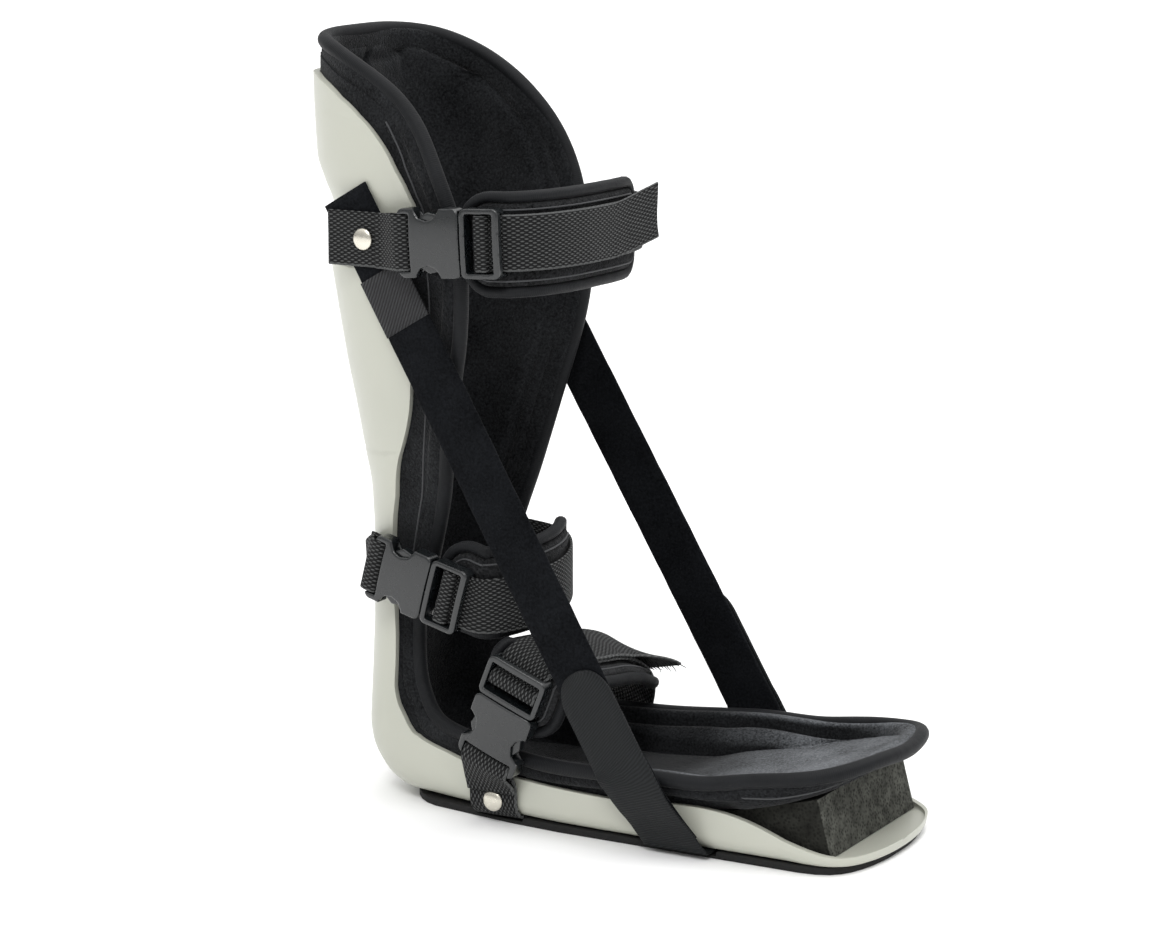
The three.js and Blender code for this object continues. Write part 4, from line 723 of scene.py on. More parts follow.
# Even steps along a path, and the values of extra columns there.
def resample(points, step, closed=False, extra=None):
    if closed:
        points = np.vstack((points, points[:1]))
        extra = None if extra is None else np.vstack((extra, extra[:1]))
    lengths = lengths_along(points)
    count = max(2, round(lengths[-1] / step))
    places = np.linspace(0, lengths[-1], count + 1)
    if closed:
        places = places[:-1]
    result = columns_at(places, lengths, points)
    return result if extra is None else (result, columns_at(places, lengths, extra))


def soften_loop(values, reach):
    padded = np.vstack((values[-3 * reach:], values, values[:3 * reach]))
    return np.stack([np.convolve(column, bell(reach), mode="valid") for column in padded.T], axis=1)


# The part of each vector that is square to the run there.
def square_to(run, vectors):
    return vectors - (vectors * run).sum(axis=1, keepdims=True) * run


def tangents(points, closed=False):
    if closed:
        return unit(np.roll(points, -1, axis=0) - np.roll(points, 1, axis=0))
    return unit(np.gradient(points, axis=0))


def tube(path, across, wide, thick, sides, closed=True, square=1.0):
    run = tangents(path, closed)
    across = unit(square_to(run, across))
    away = np.cross(run, across)
    angles = 2 * math.pi * (np.arange(sides) + 0.5) / sides
    wide = np.broadcast_to(wide, len(path))[:, None, None]
    thick = np.broadcast_to(thick, len(path))[:, None, None]
    along, up = (np.sign(v) * np.abs(v) ** square for v in (np.cos(angles), np.sin(angles)))
    return (path[:, None, :] + wide * along[None, :, None] * away[:, None, :]
            + thick * up[None, :, None] * across[:, None, :])


def rim_loop(outer, inner):
    middle = 0.5 * (outer + inner)
    order = [(i, 0, i, 2) for i in range(1, len(outer) - 1)]
    last, end = len(outer) - 1, outer.shape[1] - 1
    order += [(last, j, last - 2, j) for j in range(1, end)]
    order += [(i, end, i, end - 2) for i in range(last - 1, 0, -1)]
    order += [(0, j, 2, j) for j in range(end - 1, 0, -1)]
    edge = np.array([middle[i, j] for i, j, _, _ in order])
    inside = np.array([middle[i, j] for _, _, i, j in order])
    thick = unit(np.array([inner[i, j] - outer[i, j] for i, j, _, _ in order]))
    return edge, inside, thick


def build_binding(outer, inner):
    edge, inside, thick = rim_loop(outer, inner)
    path, more = resample(edge, 3.0, closed=True, extra=np.hstack((inside, thick)))
    run = tangents(soften_loop(path, 3), closed=True)
    away = unit(path - more[:, :3])
    away[:, 0] += np.where(path[:, 0] > 0.8 * LINER_TOE, 1.5 * np.abs(run[:, 1]), 0.0)
    away = soften_loop(unit(square_to(run, away)), 3)
    across = unit(soften_loop(more[:, 3:], 3))
    # Name, slot, distance outward, half width, half thickness, squareness and what it replaces.
    for name, slot, offset, wide, thick, square, replaced in (
            ("liner_edge_roll", "binding_fabric", 7.4, 3.4, 3.4, 1.0, ["liner_binding"]),
            ("liner_edge_band", "lining_fleece", 2.4, 5.4, 3.25, 0.6, [])):
        centres = resample(soften_loop(path + unit(away) * offset, 3), 3.0, closed=True)
        size = 1 + 0.02 * ripple(centres, 60.0)
        held = nearest(centres, path, across)
        rings = tube(centres, held, wide * size, thick * size, 18, square=square)
        put(name, loft(rings, closed=True), slot, replaced, weave=True)


def nearest(places, known, values):
    return np.array([values[np.argmin(np.sum((known - place) ** 2, axis=1))] for place in places])


# A thin sewn cord along a path that lies on a surface.
def welt(name, path, outward, radius, closed):
    shape = loft(tube(path, outward, radius, radius, 8, closed), closed)
    put(name, shape, "binding_fabric", weave=True, material="welt_cord")


# The columns and rows of the liner's outer face along which its cords run, and where they begin.
WELT_COLUMN = 6
WELT_ROWS = slice(4, -14)
CALF_WELT_START = 100
FOOT_WELT_START = 54


def welt_liner(outer):
    last = outer.shape[1] - 1
    for name, column, step in (("near", WELT_COLUMN, 1), ("far", last - WELT_COLUMN, -1)):
        path = outer[WELT_ROWS, column]
        out = unit(np.cross(np.gradient(path, axis=0), outer[WELT_ROWS, column + step] - path))
        out = out * np.sign(out[:, 1:2] * np.sign(path[:, 1:2]) + 1e-9)
        for part, shown in (("calf", path[:, 2] > CALF_WELT_START),
                            ("foot", path[:, 0] > FOOT_WELT_START)):
            welt(f"rim_welt_{part}_{name}", (path + 0.2 * out)[shown], out[shown], 0.4, False)


# A course: the smooth curve that a strap follows, with the direction across it, as the frame's solids do.
class Course:
    def __init__(self, points, across_hint):
        points = np.asarray(points, float)
        ends = (2 * points[0] - points[1], 2 * points[-1] - points[-2])
        held = np.vstack((ends[0], points, ends[1]))
        samples = []
        for i in range(len(points) - 1):
            a, b, c, d = held[i:i + 4]
            d0, d1, d2 = (math.sqrt(math.dist(p, q)) for p, q in ((a, b), (b, c), (c, d)))
            t1 = ((b - a) / d0 - (c - a) / (d0 + d1) + (c - b) / d1) * d1
            t2 = ((c - b) / d1 - (d - b) / (d1 + d2) + (d - c) / d2) * d1
            for f in np.linspace(0, 1, 60, endpoint=False):
                samples.append(b + t1 * f + (-3 * b + 3 * c - 2 * t1 - t2) * f * f
                               + (2 * b - 2 * c + t1 + t2) * f ** 3)
        samples.append(points[-1])
        self.points = np.array(samples)
        self.lengths = lengths_along(self.points)
        self.length = self.lengths[-1]
        self.runs = unit(np.gradient(self.points, axis=0))
        self.hint = unit(np.asarray(across_hint, float))

    # The place at a distance along, the run there, and the directions across and outward.
    def frames(self, along):
        along = np.clip(along, 0, self.length)
        run = unit(columns_at(along, self.lengths, self.runs))
        across = unit(self.hint - (run @ self.hint)[..., None] * run)
        return columns_at(along, self.lengths, self.points), run, across, np.cross(run, across)

    def place(self, along, height, aside):
        place, _, across, outward = self.frames(along)
        return place + outward * height[..., None] + across * aside[..., None]

    # The first place, in a first share of the course, where a coordinate rises past a value.
    def where(self, axis, value, share):
        held = self.points[self.lengths <= share * self.length]
        return self.lengths[np.argmax(held[:, axis] >= value)]


# The section of a flat strip: a rounded flat oval, as shares of its half width and thickness.
def strip_section(width, thickness):
    half, thin = width / 2, thickness / 2
    soft = min(0.8, thin)
    xs = [-half + soft, -0.6 * half, 0.0, 0.6 * half, half - soft]
    top = [(x, thin) for x in xs]
    right = [(half - 0.3 * soft, 0.72 * thin), (half, 0.0), (half - 0.3 * soft, -0.72 * thin)]
    bottom = [(-x, -thin) for x in xs]
    left = [(-x, -y) for x, y in right]
    return np.array(top + right + bottom + left)


# Cuts the corners of a path of places and their directions across.
def rounder(points, across, times=2):
    for _ in range(times):
        both = np.hstack((points, across))
        cut = np.empty((2 * len(both) - 2, both.shape[1]))
        cut[0::2] = 0.75 * both[:-1] + 0.25 * both[1:]
        cut[1::2] = 0.25 * both[:-1] + 0.75 * both[1:]
        both = np.vstack((both[:1], cut, both[-1:]))
        points, across = both[:, :3], both[:, 3:]
    return points, across


def strip_rings(points, across, width, thickness, level=None, wave=0.0):
    widths = np.broadcast_to(width, len(points))
    run = tangents(points)
    flat = square_to(run, across)
    if level is not None:
        flat = np.where(level[:, None], across, flat)
    flat = unit(flat)
    thick = unit(np.cross(run, flat))
    section = strip_section(WEBBING, thickness)
    xs = section[:, 0] / WEBBING * widths[:, None]
    ys = np.broadcast_to(section[:, 1], xs.shape)
    rings = points[:, None, :] + xs[..., None] * flat[:, None, :] + ys[..., None] * thick[:, None, :]
    if wave:
        rings = rings + (wave * ripple(rings, 34.0))[..., None] * thick[:, None, :]
    return rings


def put_strip(name, rings, slot, replaced, material=None):
    around = rings.shape[1]
    points, faces, _ = loft(rings)
    along = lengths_along(rings.mean(axis=1))
    wide = np.linalg.norm(rings[:, 4] - rings[:, 0], axis=1).max()
    share = strip_section(WEBBING, WEBBING_THICKNESS)[:, 0] / WEBBING + 0.5
    flat_uv = [tuple((along[v // around], share[v % around] * wide) for v in face) for face in faces]
    return put(name, (points, faces, flat_uv), slot, replaced, weave=True, material=material)


# Straps: their courses, as shares of the sizes that drive them

CALF_COURSE_ROWS = [
    (-0.219, -1.140, 0.7855), (0.066, -1.1165, 0.7880), (0.274, -1.0995, 0.7900), (0.483, -1.0825, 0.7920),
    (0.690, -1.0655, 0.7938), (0.844, -1.0400, 0.7948), (0.985, -0.880, 0.7955), (1.081, -0.550, 0.7955),
    (1.110, -0.100, 0.7950), (1.088, 0.300, 0.7940), (0.978, 0.660, 0.7920), (0.756, 0.920, 0.7895),
    (0.452, 1.050, 0.7865), (0.132, 1.070, 0.7840),
]
ANKLE_COURSE_ROWS = [
    (-0.80, -1.155, 1.035), (-0.655, -1.155, 1.021), (-0.382, -1.155, 0.995), (-0.055, -1.155, 0.963),
    (0.328, -1.155, 0.926), (0.612, -1.155, 0.899), (0.819, -1.155, 0.884), (1.027, -1.050, 0.890),
    (1.168, -0.780, 0.897), (1.234, -0.420, 0.904), (1.212, -0.100, 0.911), (1.114, 0.200, 0.917),
    (0.961, 0.480, 0.923), (0.764, 0.740, 0.929), (0.502, 0.940, 0.933), (0.164, 1.050, 0.936),
    (-0.218, 1.110, 0.938), (-0.568, 1.120, 0.939),
]
INSTEP_COURSE_ROWS = [
    (0.1794, -1.090, 0.283), (0.2018, -1.090, 0.427), (0.2242, -1.090, 0.570), (0.2466, -1.090, 0.714),
    (0.2655, -1.090, 0.835), (0.2735, -1.088, 0.886), (0.2855, -1.020, 0.930), (0.2945, -0.870, 0.940),
    (0.2990, -0.640, 0.930), (0.3004, -0.370, 0.902), (0.2996, 0.000, 0.868), (0.2969, 0.311, 0.815),
    (0.2915, 0.583, 0.735), (0.2780, 0.816, 0.630), (0.2556, 0.995, 0.505), (0.2287, 1.110, 0.385),
    (0.2018, 1.090, 0.290),
]
STRAP_SIDE = 0.9945 * CALF_HALF
TAB_HEIGHT = 0.785 * SHELL_HEIGHT
TAB_LAYER = GAP + SOFT_THICKNESS + GAP
RIVET_PLACE = -0.267 * CALF_BACK
INSTEP_HEIGHT = 86.0
INSTEP_PLACE = 0.184 * TOE_REACH
INSTEP_SIDE = 50.6
SLOPE = math.radians(22.7)
LAYER_ONE = 1.4 * GAP + WEBBING_THICKNESS / 2
LAYER_TWO = LAYER_ONE + WEBBING_THICKNESS + GAP
SOCKET_BAR = BAR_WIDTH / 2 - SOCKET_LENGTH


def foot_half(x):
    places = [row[0] * TOE_REACH for row in FOOT_ROWS][::-1]
    return float(np.interp(x, places, [row[1] * SOLE_HALF for row in FOOT_ROWS][::-1]))


def scaled(rows, x, y, z):
    return [(row[0] * x, row[1] * y, row[2] * z) for row in rows]


def on_calf(x, side, layer):
    return np.array((x, side * (STRAP_SIDE + layer), TAB_HEIGHT))


# A strap's course, the place of its buckle, its pad and its free end as (along, height, aside). The buckle
# and the pad's start lie where an axis rises past a value on the near side, the rest where the width does.
def strap_set(course, axis, share, buckle, start, lift, end, width, aside, tail=((0, 0, 0),)):
    pad = dict(start=course.where(axis, start, share), end=course.where(1, end, 0.8),
               width=width, aside=aside)
    lifted = course.where(1, lift, 0.8)
    return (course, course.where(axis, buckle, share), pad,
            [(lifted + along, LAYER_TWO + height, beside) for along, height, beside in tail])


def calf_set():
    far = [on_calf(share * CALF_BACK, 1, TAB_LAYER) for share in (-0.13, -0.30, -0.46)]
    course = Course(scaled(CALF_COURSE_ROWS, CALF_BACK, CALF_HALF, SHELL_HEIGHT) + far, UP)
    return strap_set(course, 0, 0.35, buckle=0.548 * CALF_BACK, start=0.54 * CALF_BACK,
                     lift=-0.10 * CALF_HALF, end=0.47 * CALF_HALF, width=47.0, aside=-1.5,
                     tail=((0, 0, 0), (10, 0.8, 1.2), (20, 3.2, 3.6), (30, 7.5, 6.5)))


def ankle_set():
    course = Course(scaled(ANKLE_COURSE_ROWS, HEEL_REACH, ANKLE_HALF, ANKLE_HEIGHT), UP)
    return strap_set(course, 0, 0.35, buckle=0.22 * HEEL_REACH, start=0.32 * HEEL_REACH,
                     lift=-0.70 * ANKLE_HALF, end=0.50 * ANKLE_HALF, width=43.0, aside=5.0)


def instep_set():
    side = INSTEP_SIDE + 2 * GAP + WEBBING_THICKNESS
    far = [(INSTEP_PLACE, side, share * INSTEP_HEIGHT) for share in (0.20, 0.14, 0.08)]
    course = Course(scaled(INSTEP_COURSE_ROWS, TOE_REACH, SOLE_HALF, INSTEP_HEIGHT) + far,
                    (-math.cos(SLOPE), 0, math.sin(SLOPE)))
    return strap_set(course, 2, 0.3, buckle=0.70 * INSTEP_HEIGHT, start=0.62 * INSTEP_HEIGHT,
                     lift=0.02 * SOLE_HALF, end=0.62 * SOLE_HALF, width=44.0, aside=-2.0,
                     tail=((0, 0, 0), (12, 0.6, -2), (24, 1.8, -8), (36, 3.6, -16)))


# The webbing's way round the plug's bar, as (along, height).
def plug_turn(meet):
    middle = meet + PLUG_LENGTH / 2
    layers = 2 * WEBBING_THICKNESS + 4 * GAP
    over = GAP + layers + 0.6 * BAR_WIDTH + GAP + WEBBING_THICKNESS / 2 + 0.1
    side = BAR_WIDTH / 2 + GAP + WEBBING_THICKNESS / 2 + 0.2
    return [
        (middle + side + 0.9, LAYER_TWO + 0.35), (middle + side, LAYER_TWO + 1.6),
        (middle + side, over - 1.2), (middle + side - 0.6, over - 0.15),
        (middle - side + 0.6, over - 0.15), (middle - side, over - 1.2),
        (middle - side, LAYER_ONE + 1.5), (middle - side + 0.5, LAYER_ONE + 0.45),
        (middle - side + 1.6, LAYER_ONE),
    ]


def along_course(course, stations):
    table = np.array([(*station, 0.0)[:3] for station in stations], float)
    places = course.place(table[:, 0], table[:, 1], table[:, 2])
    return places, course.frames(table[:, 0])[2]


# Turns a strip about its own run, fully at its first end and not at all beyond reach.
def twisted(points, across, reach, turn):
    gone = lengths_along(points)
    angle = (turn * smooth_step(1 - gone / reach))[:, None]
    return across * np.cos(angle) + unit(np.cross(tangents(points), across)) * np.sin(angle)


def build_strap(name, course, meet, tail):
    tail_start = meet + PLUG_LENGTH - BAR_WIDTH + 1
    carry_start = meet + PLUG_LENGTH / 2 + 1
    tail = np.array(tail, float)
    if len(tail) > 1:
        fine = np.arange(tail[0, 0], tail[-1, 0] + 0.1, 2.0)
        bent = np.stack([smooth_column(tail[:, k], (fine - tail[0, 0]) / (tail[1, 0] - tail[0, 0]))
                         for k in (1, 2)], axis=1)
        lifted = [(a, *b) for a, b in zip(fine, bent)][::-1]
    else:
        lifted = [tuple(tail[0])]
    stations = lifted + [(a, LAYER_TWO) for a in np.arange(tail[0, 0] - 2.5, tail_start, -2.5)]
    stations += plug_turn(meet)
    stations += [(a, LAYER_ONE) for a in np.arange(carry_start + 3, course.length, 2.5)]
    stations.append((course.length, LAYER_ONE))
    points, across = rounder(*along_course(course, stations))
    if name == "instep":
        across = twisted(points, across, reach=34.0, turn=0.35)
    rings = strip_rings(points, across, WEBBING, WEBBING_THICKNESS, wave=0.12)
    if name == "calf":
        slant_end(rings, reach=7.0)
    if name == "instep":
        fray("instep_tail", rings[0], rings[2], length=4.5, seed=5)
    put_strip(f"{name}_strap_webbing", rings, "webbing", [f"{name}_strap"])


YARNS = 13
YARN_RADII = (0.34, 0.14)


# Loose yarns that stand out of a strip's end ring, away from the next ring.
def fray(name, end_ring, next_ring, length, seed):
    draw = np.random.default_rng(seed)
    middle, wide = end_ring.mean(axis=0), end_ring[4] - end_ring[0]
    run = unit(middle - next_ring.mean(axis=0))
    thick = unit(np.cross(run, wide))
    all_points, all_faces = [], []
    for share in np.linspace(-0.47, 0.47, YARNS):
        reach = length * (0.35 + 0.65 * draw.random())
        start = middle + share * wide - 1.0 * run
        bend = wide / np.linalg.norm(wide) * draw.normal(0, 0.22) + thick * draw.normal(0, 0.30)
        steps = np.linspace(0, 1, 6)
        path = np.array([start + run * (reach + 1) * t + bend * reach * t * t for t in steps])
        sizes = np.linspace(*YARN_RADII, 6)
        points, faces, _ = loft(tube(path, np.broadcast_to(thick, path.shape), sizes, sizes, 5, False))
        offset = sum(len(known) for known in all_points)
        all_faces += [tuple(offset + corner for corner in face) for face in faces]
        all_points.append(points)
    put(f"{name}_yarns", (np.vstack(all_points), all_faces, None), "webbing", material="welt_cord")


# Cuts a strip's first end on a slant.
def slant_end(rings, reach):
    middle = rings.mean(axis=1)
    run = unit(middle[0] - middle[3])
    wide = rings[0, 4] - rings[0, 0]
    width = np.linalg.norm(wide)
    share = (rings[0] - rings[0].mean(axis=0)) @ (wide / width) / width
    for i in range(4):
        rings[i] += run * (share * reach * (1 - i / 4))[:, None]


# The webbing's way round the socket's bar.
def anchor_loop(course, bar):
    lay = WEBBING_THICKNESS / 2 + GAP
    under, over = -lay, GAP + BUCKLE_DEEP - BUCKLE_WALL - 1 + lay
    slot = bar + BAR_WIDTH
    return along_course(course, [
        (bar - 2.4 * BAR_WIDTH, under - 0.5), (bar - 1.2 * BAR_WIDTH, under - 0.2),
        (bar - 0.4 * BAR_WIDTH, under), (slot - 0.6, under + 0.25), (slot, under + 1.6),
        (slot, over - 1.6), (slot - 0.6, over - 0.25), (bar - 0.2 * BAR_WIDTH, over),
        (bar - 0.9 * BAR_WIDTH, over - 0.2), (bar - 1.7 * BAR_WIDTH, over - 1.6),
    ])


def join_runs(*runs):
    points = np.vstack([np.atleast_2d(run[0]) for run in runs])
    across = np.vstack([np.broadcast_to(run[1], (len(np.atleast_2d(run[0])), 3)) for run in runs])
    return points, across


def put_anchor(name, runs, wave=0.1):
    dense, wide = rounder(*join_runs(*runs), 1)
    dense, wide = resample(dense, 1.6, extra=wide)
    rings = strip_rings(dense, wide, WEBBING, WEBBING_THICKNESS, wave=wave)
    if name == "ankle":
        fray("ankle_fold", rings[-1], rings[-3], length=3.5, seed=8)
    put_strip(f"{name}_anchor_webbing", rings, "webbing", [f"{name}_anchor"])


def calf_anchor(course, meet):
    lay = TAB_LAYER + WEBBING_THICKNESS / 2
    fold = lay + WEBBING_THICKNESS + GAP
    tab = [on_calf(x, -1, lay) for x in np.linspace(-0.548 * CALF_BACK, -0.09 * CALF_BACK, 12)]
    back = [on_calf(share * CALF_BACK, -1, fold) for share in (-0.10, -0.16)]
    put_anchor("calf", ((tab, UP), anchor_loop(course, meet + SOCKET_BAR), (back, UP)))


def ankle_wrap(side, degrees, layer):
    angle = math.radians(degrees)
    corner = LEG_ROWS[0][5] * CALF_CORNER
    radius = corner + 1.8 + WEBBING_THICKNESS / 2 + layer
    x = corner - LEG_ROWS[0][1] * CALF_BACK - radius * math.sin(angle)
    y = ANKLE_HALF - corner + radius * math.cos(angle)
    return np.array((x, side * y, 0.9 * ANKLE_HEIGHT))


def ankle_anchor(course, meet):
    far = [ankle_wrap(1, degrees, 0) for degrees in np.linspace(-8, 80, 15)]
    rises = ((80, 0), (73, 0.5), (66, 1.5), (60, 2.8), (53, 4.5), (46, 6.4), (40, 8.5))
    near = [ankle_wrap(-1, degrees, GAP + 0.15 * rise) + rise * UP for degrees, rise in rises]
    loop = anchor_loop(course, meet + SOCKET_BAR)
    low, first = near[-1], loop[0][0]
    out = unit(np.cross(first - low, UP))
    inward = out * (WEBBING_THICKNESS + 3 * GAP)
    fold = [first + (low - first) * share - inward for share in (0.25, 0.7)]
    put_anchor("ankle", ((far + near, UP), loop, (fold, UP)))


def instep_anchor(course, meet):
    lay = GAP + WEBBING_THICKNESS / 2
    side = INSTEP_SIDE + lay
    corner = 1.13 * SOLE_CORNER
    radius = corner + lay

    def bend(sign):
        return [(INSTEP_PLACE, sign * (side - radius + radius * math.sin(a)),
                 SOLE_TOP + corner - radius * math.cos(a))
                for a in (math.radians(d) for d in (80, 62, 44, 26, 8))]

    def upright(y, shares):
        return [(INSTEP_PLACE, y + math.copysign(extra, y), share * INSTEP_HEIGHT)
                for share, extra in shares]

    near = upright(-side, ((0.23, 0.8), (0.19, 0), (0.145, 0)))
    far = upright(side, ((0.145, 0), (0.19, 0)))
    fold = upright(-side - WEBBING_THICKNESS - 2 * GAP, ((0.225, 0.8), (0.19, 0)))
    below = [*far[::-1], *bend(1), *bend(-1)[::-1], *near[::-1]]
    back = np.array((-1.0, 0.0, 0.0))
    loop = anchor_loop(course, meet + SOCKET_BAR)
    put_anchor("instep", ((below, back), loop, (fold, back)), wave=0.0)


# Pads

PAD_MIDDLE = -3.75
PAD_EDGE_HALF = 1.5
PAD_FULL_HALF = 2.55
PAD_ROUND = 6.0
WELT_INSET = 2.6
BODY_CORNER = PAD_CORNER - PAD_BINDING


def pad_half(pad, along):
    half = pad["width"] / 2 - 2 * PAD_BINDING
    inside = np.clip(np.minimum(along - pad["start"], pad["end"] - along), 0, BODY_CORNER)
    return half - BODY_CORNER + np.sqrt(np.clip(BODY_CORNER ** 2 - (BODY_CORNER - inside) ** 2, 0, None))


# How free a pad is of the webbing that presses on its middle, from 0 to 1.
def beside_webbing(aside):
    return np.clip((np.abs(aside) - 12.0) / 3.0, 0, 1)


def pad_body(course, pad):
    start, end = pad["start"], pad["end"]
    ends = BODY_CORNER * (1 - np.cos(np.linspace(0.1, math.pi / 2, 7)))
    inner_places = np.arange(start + BODY_CORNER + 2, end - BODY_CORNER, 2.2)
    places = np.concatenate((start + ends, inner_places, (end - ends)[::-1]))
    half = pad_half(pad, places)[:, None]
    aside = half * np.sin(np.linspace(-math.pi / 2, math.pi / 2, 27))
    edge = np.minimum(half - np.abs(aside), np.minimum(places - start, end - places)[:, None] + 0.4)
    full = np.sqrt(np.clip(1 - (1 - np.clip(edge / PAD_ROUND, 0, 1)) ** 2, 0, 1))
    aside = aside + pad["aside"]
    fall = PAD_EDGE_HALF + (PAD_FULL_HALF - PAD_EDGE_HALF) * full
    rise = fall + 1.2 * beside_webbing(aside) * full
    along = np.broadcast_to(places[:, None], aside.shape)
    top = course.place(along, PAD_MIDDLE + rise, aside)
    low = course.place(along, PAD_MIDDLE - fall, aside)
    top = top + unit(top - low) * (0.3 * ripple(top, 19.0) * full)[..., None]
    return np.concatenate((top, low[:, ::-1]), axis=1)


# Places and outward directions along a pad's outline, at a height that may rise beside the webbing.
def outline_path(course, pad, offset, height, rise=0.0):
    line = pad_outline(pad, offset)
    aside = line[:, 1] + pad["aside"]
    path = course.place(line[:, 0], height + rise * beside_webbing(aside), aside)
    return path, course.frames(line[:, 0])[3]


def build_pad(name, course, pad):
    piece = put(f"{name}_pad_soft", loft(pad_body(course, pad)), "pad_loop", [f"{name}_pad"])
    path, outward = outline_path(course, pad, PAD_BINDING + 0.1, PAD_MIDDLE)
    rings = tube(path, outward, PAD_BINDING, PAD_THICKNESS / 2 - 0.1, 12)
    rings += (0.12 * ripple(rings, 23.0))[..., None]
    shape = loft(rings, closed=True)
    put(f"{name}_pad_edge", shape, "binding_fabric", [f"{name}_pad_binding"], weave=True)
    full = math.sqrt(1 - (1 - WELT_INSET / PAD_ROUND) ** 2)
    height = PAD_MIDDLE + (PAD_EDGE_HALF + (PAD_FULL_HALF - PAD_EDGE_HALF) * full) + 0.35
    path, outward = outline_path(course, pad, -WELT_INSET, height, rise=0.75)
    welt(f"{name}_pad_welt", path, outward, 0.42, True)


# A pad's rounded outline as (along, aside), offset outward from its body.
def pad_outline(pad, offset):
    half = pad["width"] / 2 - 2 * PAD_BINDING + offset
    corner = BODY_CORNER + offset
    low, high = pad["start"] - offset + corner, pad["end"] + offset - corner
    turns = np.linspace(0, math.pi / 2, 9)
    outline = []
    for along, aside, start in ((high, corner - half, -math.pi / 2), (high, half - corner, 0),
                                (low, half - corner, math.pi / 2), (low, corner - half, math.pi)):
        outline += [(along + corner * math.cos(start + t), aside + corner * math.sin(start + t))
                    for t in turns]
        if start == 0:
            outline += [(a, half) for a in np.arange(high - 2, low, -2.0)]
    outline += [(a, -half) for a in np.arange(low + 2, high, 2.0)]
    return np.array(outline)


# Tension straps and their hook tabs

TENSION_TOP = 0.842 * SHELL_HEIGHT
TENSION_FOOT = 0.62 * TOE_REACH
TENSION_RAKE = (TENSION_FOOT - RIVET_PLACE) / TAB_HEIGHT
RIM_HEIGHT = 0.125 * SHELL_HEIGHT
LEVEL_WIDTH = 1 / math.cos(math.atan(TENSION_RAKE))
TENSION_ACROSS = np.array((1.0, 0.0, TENSION_RAKE)) / math.hypot(1, TENSION_RAKE)


# How far a tension strap's middle stands out beside the shell, at the rim and beside the sole.
def tension_sides(above):
    lay = SOFT_THICKNESS / 2 + above
    outer = -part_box("tension_strap_near")[0][1] * PER_METRE
    return (STRAP_SIDE + GAP + lay, outer - SOFT_THICKNESS / 2 + above,
            foot_half(TENSION_FOOT) + 2 * GAP + lay)


def raked(z, y):
    return np.stack((TENSION_FOOT - TENSION_RAKE * z, y, z), axis=-1)


# The direction across a raked strap, which turns level below the rim, and how much it widens there.
def levelled(z):
    turn = np.clip((RIM_HEIGHT - z) / (0.25 * RIM_HEIGHT), 0, 1)[:, None]
    across = TENSION_ACROSS * (1 - turn) + np.array((1.0, 0, 0)) * turn
    return across, 1 + (LEVEL_WIDTH - 1) * turn[:, 0], turn[:, 0] > 0


def tension_strap(name, side):
    on_shell, at_rim, on_sole = tension_sides(0.0)
    heights = [share * TENSION_TOP for share in (1, 0.94, 0.86)]
    heights += [share * RIM_HEIGHT for share in (1.9, 1, 0.75, 0.49, 0.33, 0.2)]
    sides = [on_shell, on_shell, on_shell + 0.3, at_rim, at_rim, at_rim, 0.6 * at_rim + 0.4 * on_sole,
             0.2 * at_rim + 0.8 * on_sole, on_sole]
    z = np.arange(heights[0], heights[-1], -3.0)
    y = soften(np.interp(z, heights[::-1], sides[::-1]), 3)
    across, widening, level = levelled(z)
    points = raked(z, side * y)
    rings = strip_rings(points, across, WEBBING * widening, SOFT_THICKNESS, level=level, wave=0.35)
    put_strip(f"tension_{name}_velour", rings, "strap_velour", [f"tension_strap_{name}"])


# A ribbed patch sewn over the near strap just under the calf's webbing.
def sewn_patch():
    on_shell = tension_sides(SOFT_THICKNESS / 2 + 0.55)[0]
    z = np.linspace(0.80 * TENSION_TOP, 0.862 * TENSION_TOP + 6, 9)[::-1]
    across = np.broadcast_to(TENSION_ACROSS, (len(z), 3))
    rings = strip_rings(raked(z, np.full(len(z), -on_shell)), across, WEBBING + 0.4, 0.9)
    put_strip("tension_near_patch", rings, "hook_fabric", [], material="sewn_patch")


def hook_tab(name, side, top):
    _, at_rim, on_sole = tension_sides(SOFT_THICKNESS / 2 + GAP + HOOK_THICKNESS / 2)
    under = SOLE_TOP - GAP - HOOK_THICKNESS / 2
    edge = foot_half(TENSION_FOOT) - 0.5 * SOLE_CORNER
    start = top * SHELL_HEIGHT
    bow = np.linspace(0, math.pi / 2, 9)
    end = np.stack((start + 0.5 * HOOK_TAB * np.cos(bow) * 0.999, np.full(len(bow), at_rim),
                    HOOK_TAB * np.clip(np.sin(bow) ** 0.75, 0.16, 1)), axis=1)
    straight = [(z, at_rim, HOOK_TAB) for z in np.arange(start - 3, RIM_HEIGHT, -3.0)]
    low = [(z, y, HOOK_TAB) for z, y in (
        (RIM_HEIGHT, at_rim), (0.75 * RIM_HEIGHT, at_rim),
        (0.49 * RIM_HEIGHT, 0.6 * at_rim + 0.4 * on_sole + 0.4),
        (0.33 * RIM_HEIGHT, 0.2 * at_rim + 0.8 * on_sole + 0.4), (1.8 * SOLE_TOP, on_sole + 0.3),
        (1.15 * SOLE_TOP, on_sole - 1.2), (under + 0.5, edge + 0.9 * SOLE_CORNER), (under, edge),
        (under, edge - 12))]
    z, y, widths = np.vstack((end, straight, low)).T
    across, widening, _ = levelled(z)
    both = np.hstack((across, (widths * widening)[:, None]))
    points, both = rounder(raked(z, side * y), both, 1)
    level = points[:, 2] < RIM_HEIGHT - 0.5
    rings = strip_rings(points, both[:, :3], both[:, 3], HOOK_THICKNESS, level=level, wave=0.08)
    put_strip(f"hook_{name}_tape", rings, "hook_fabric", [f"hook_tab_{name}"])


# Rigid pieces from the frame's solids, with their edges rounded

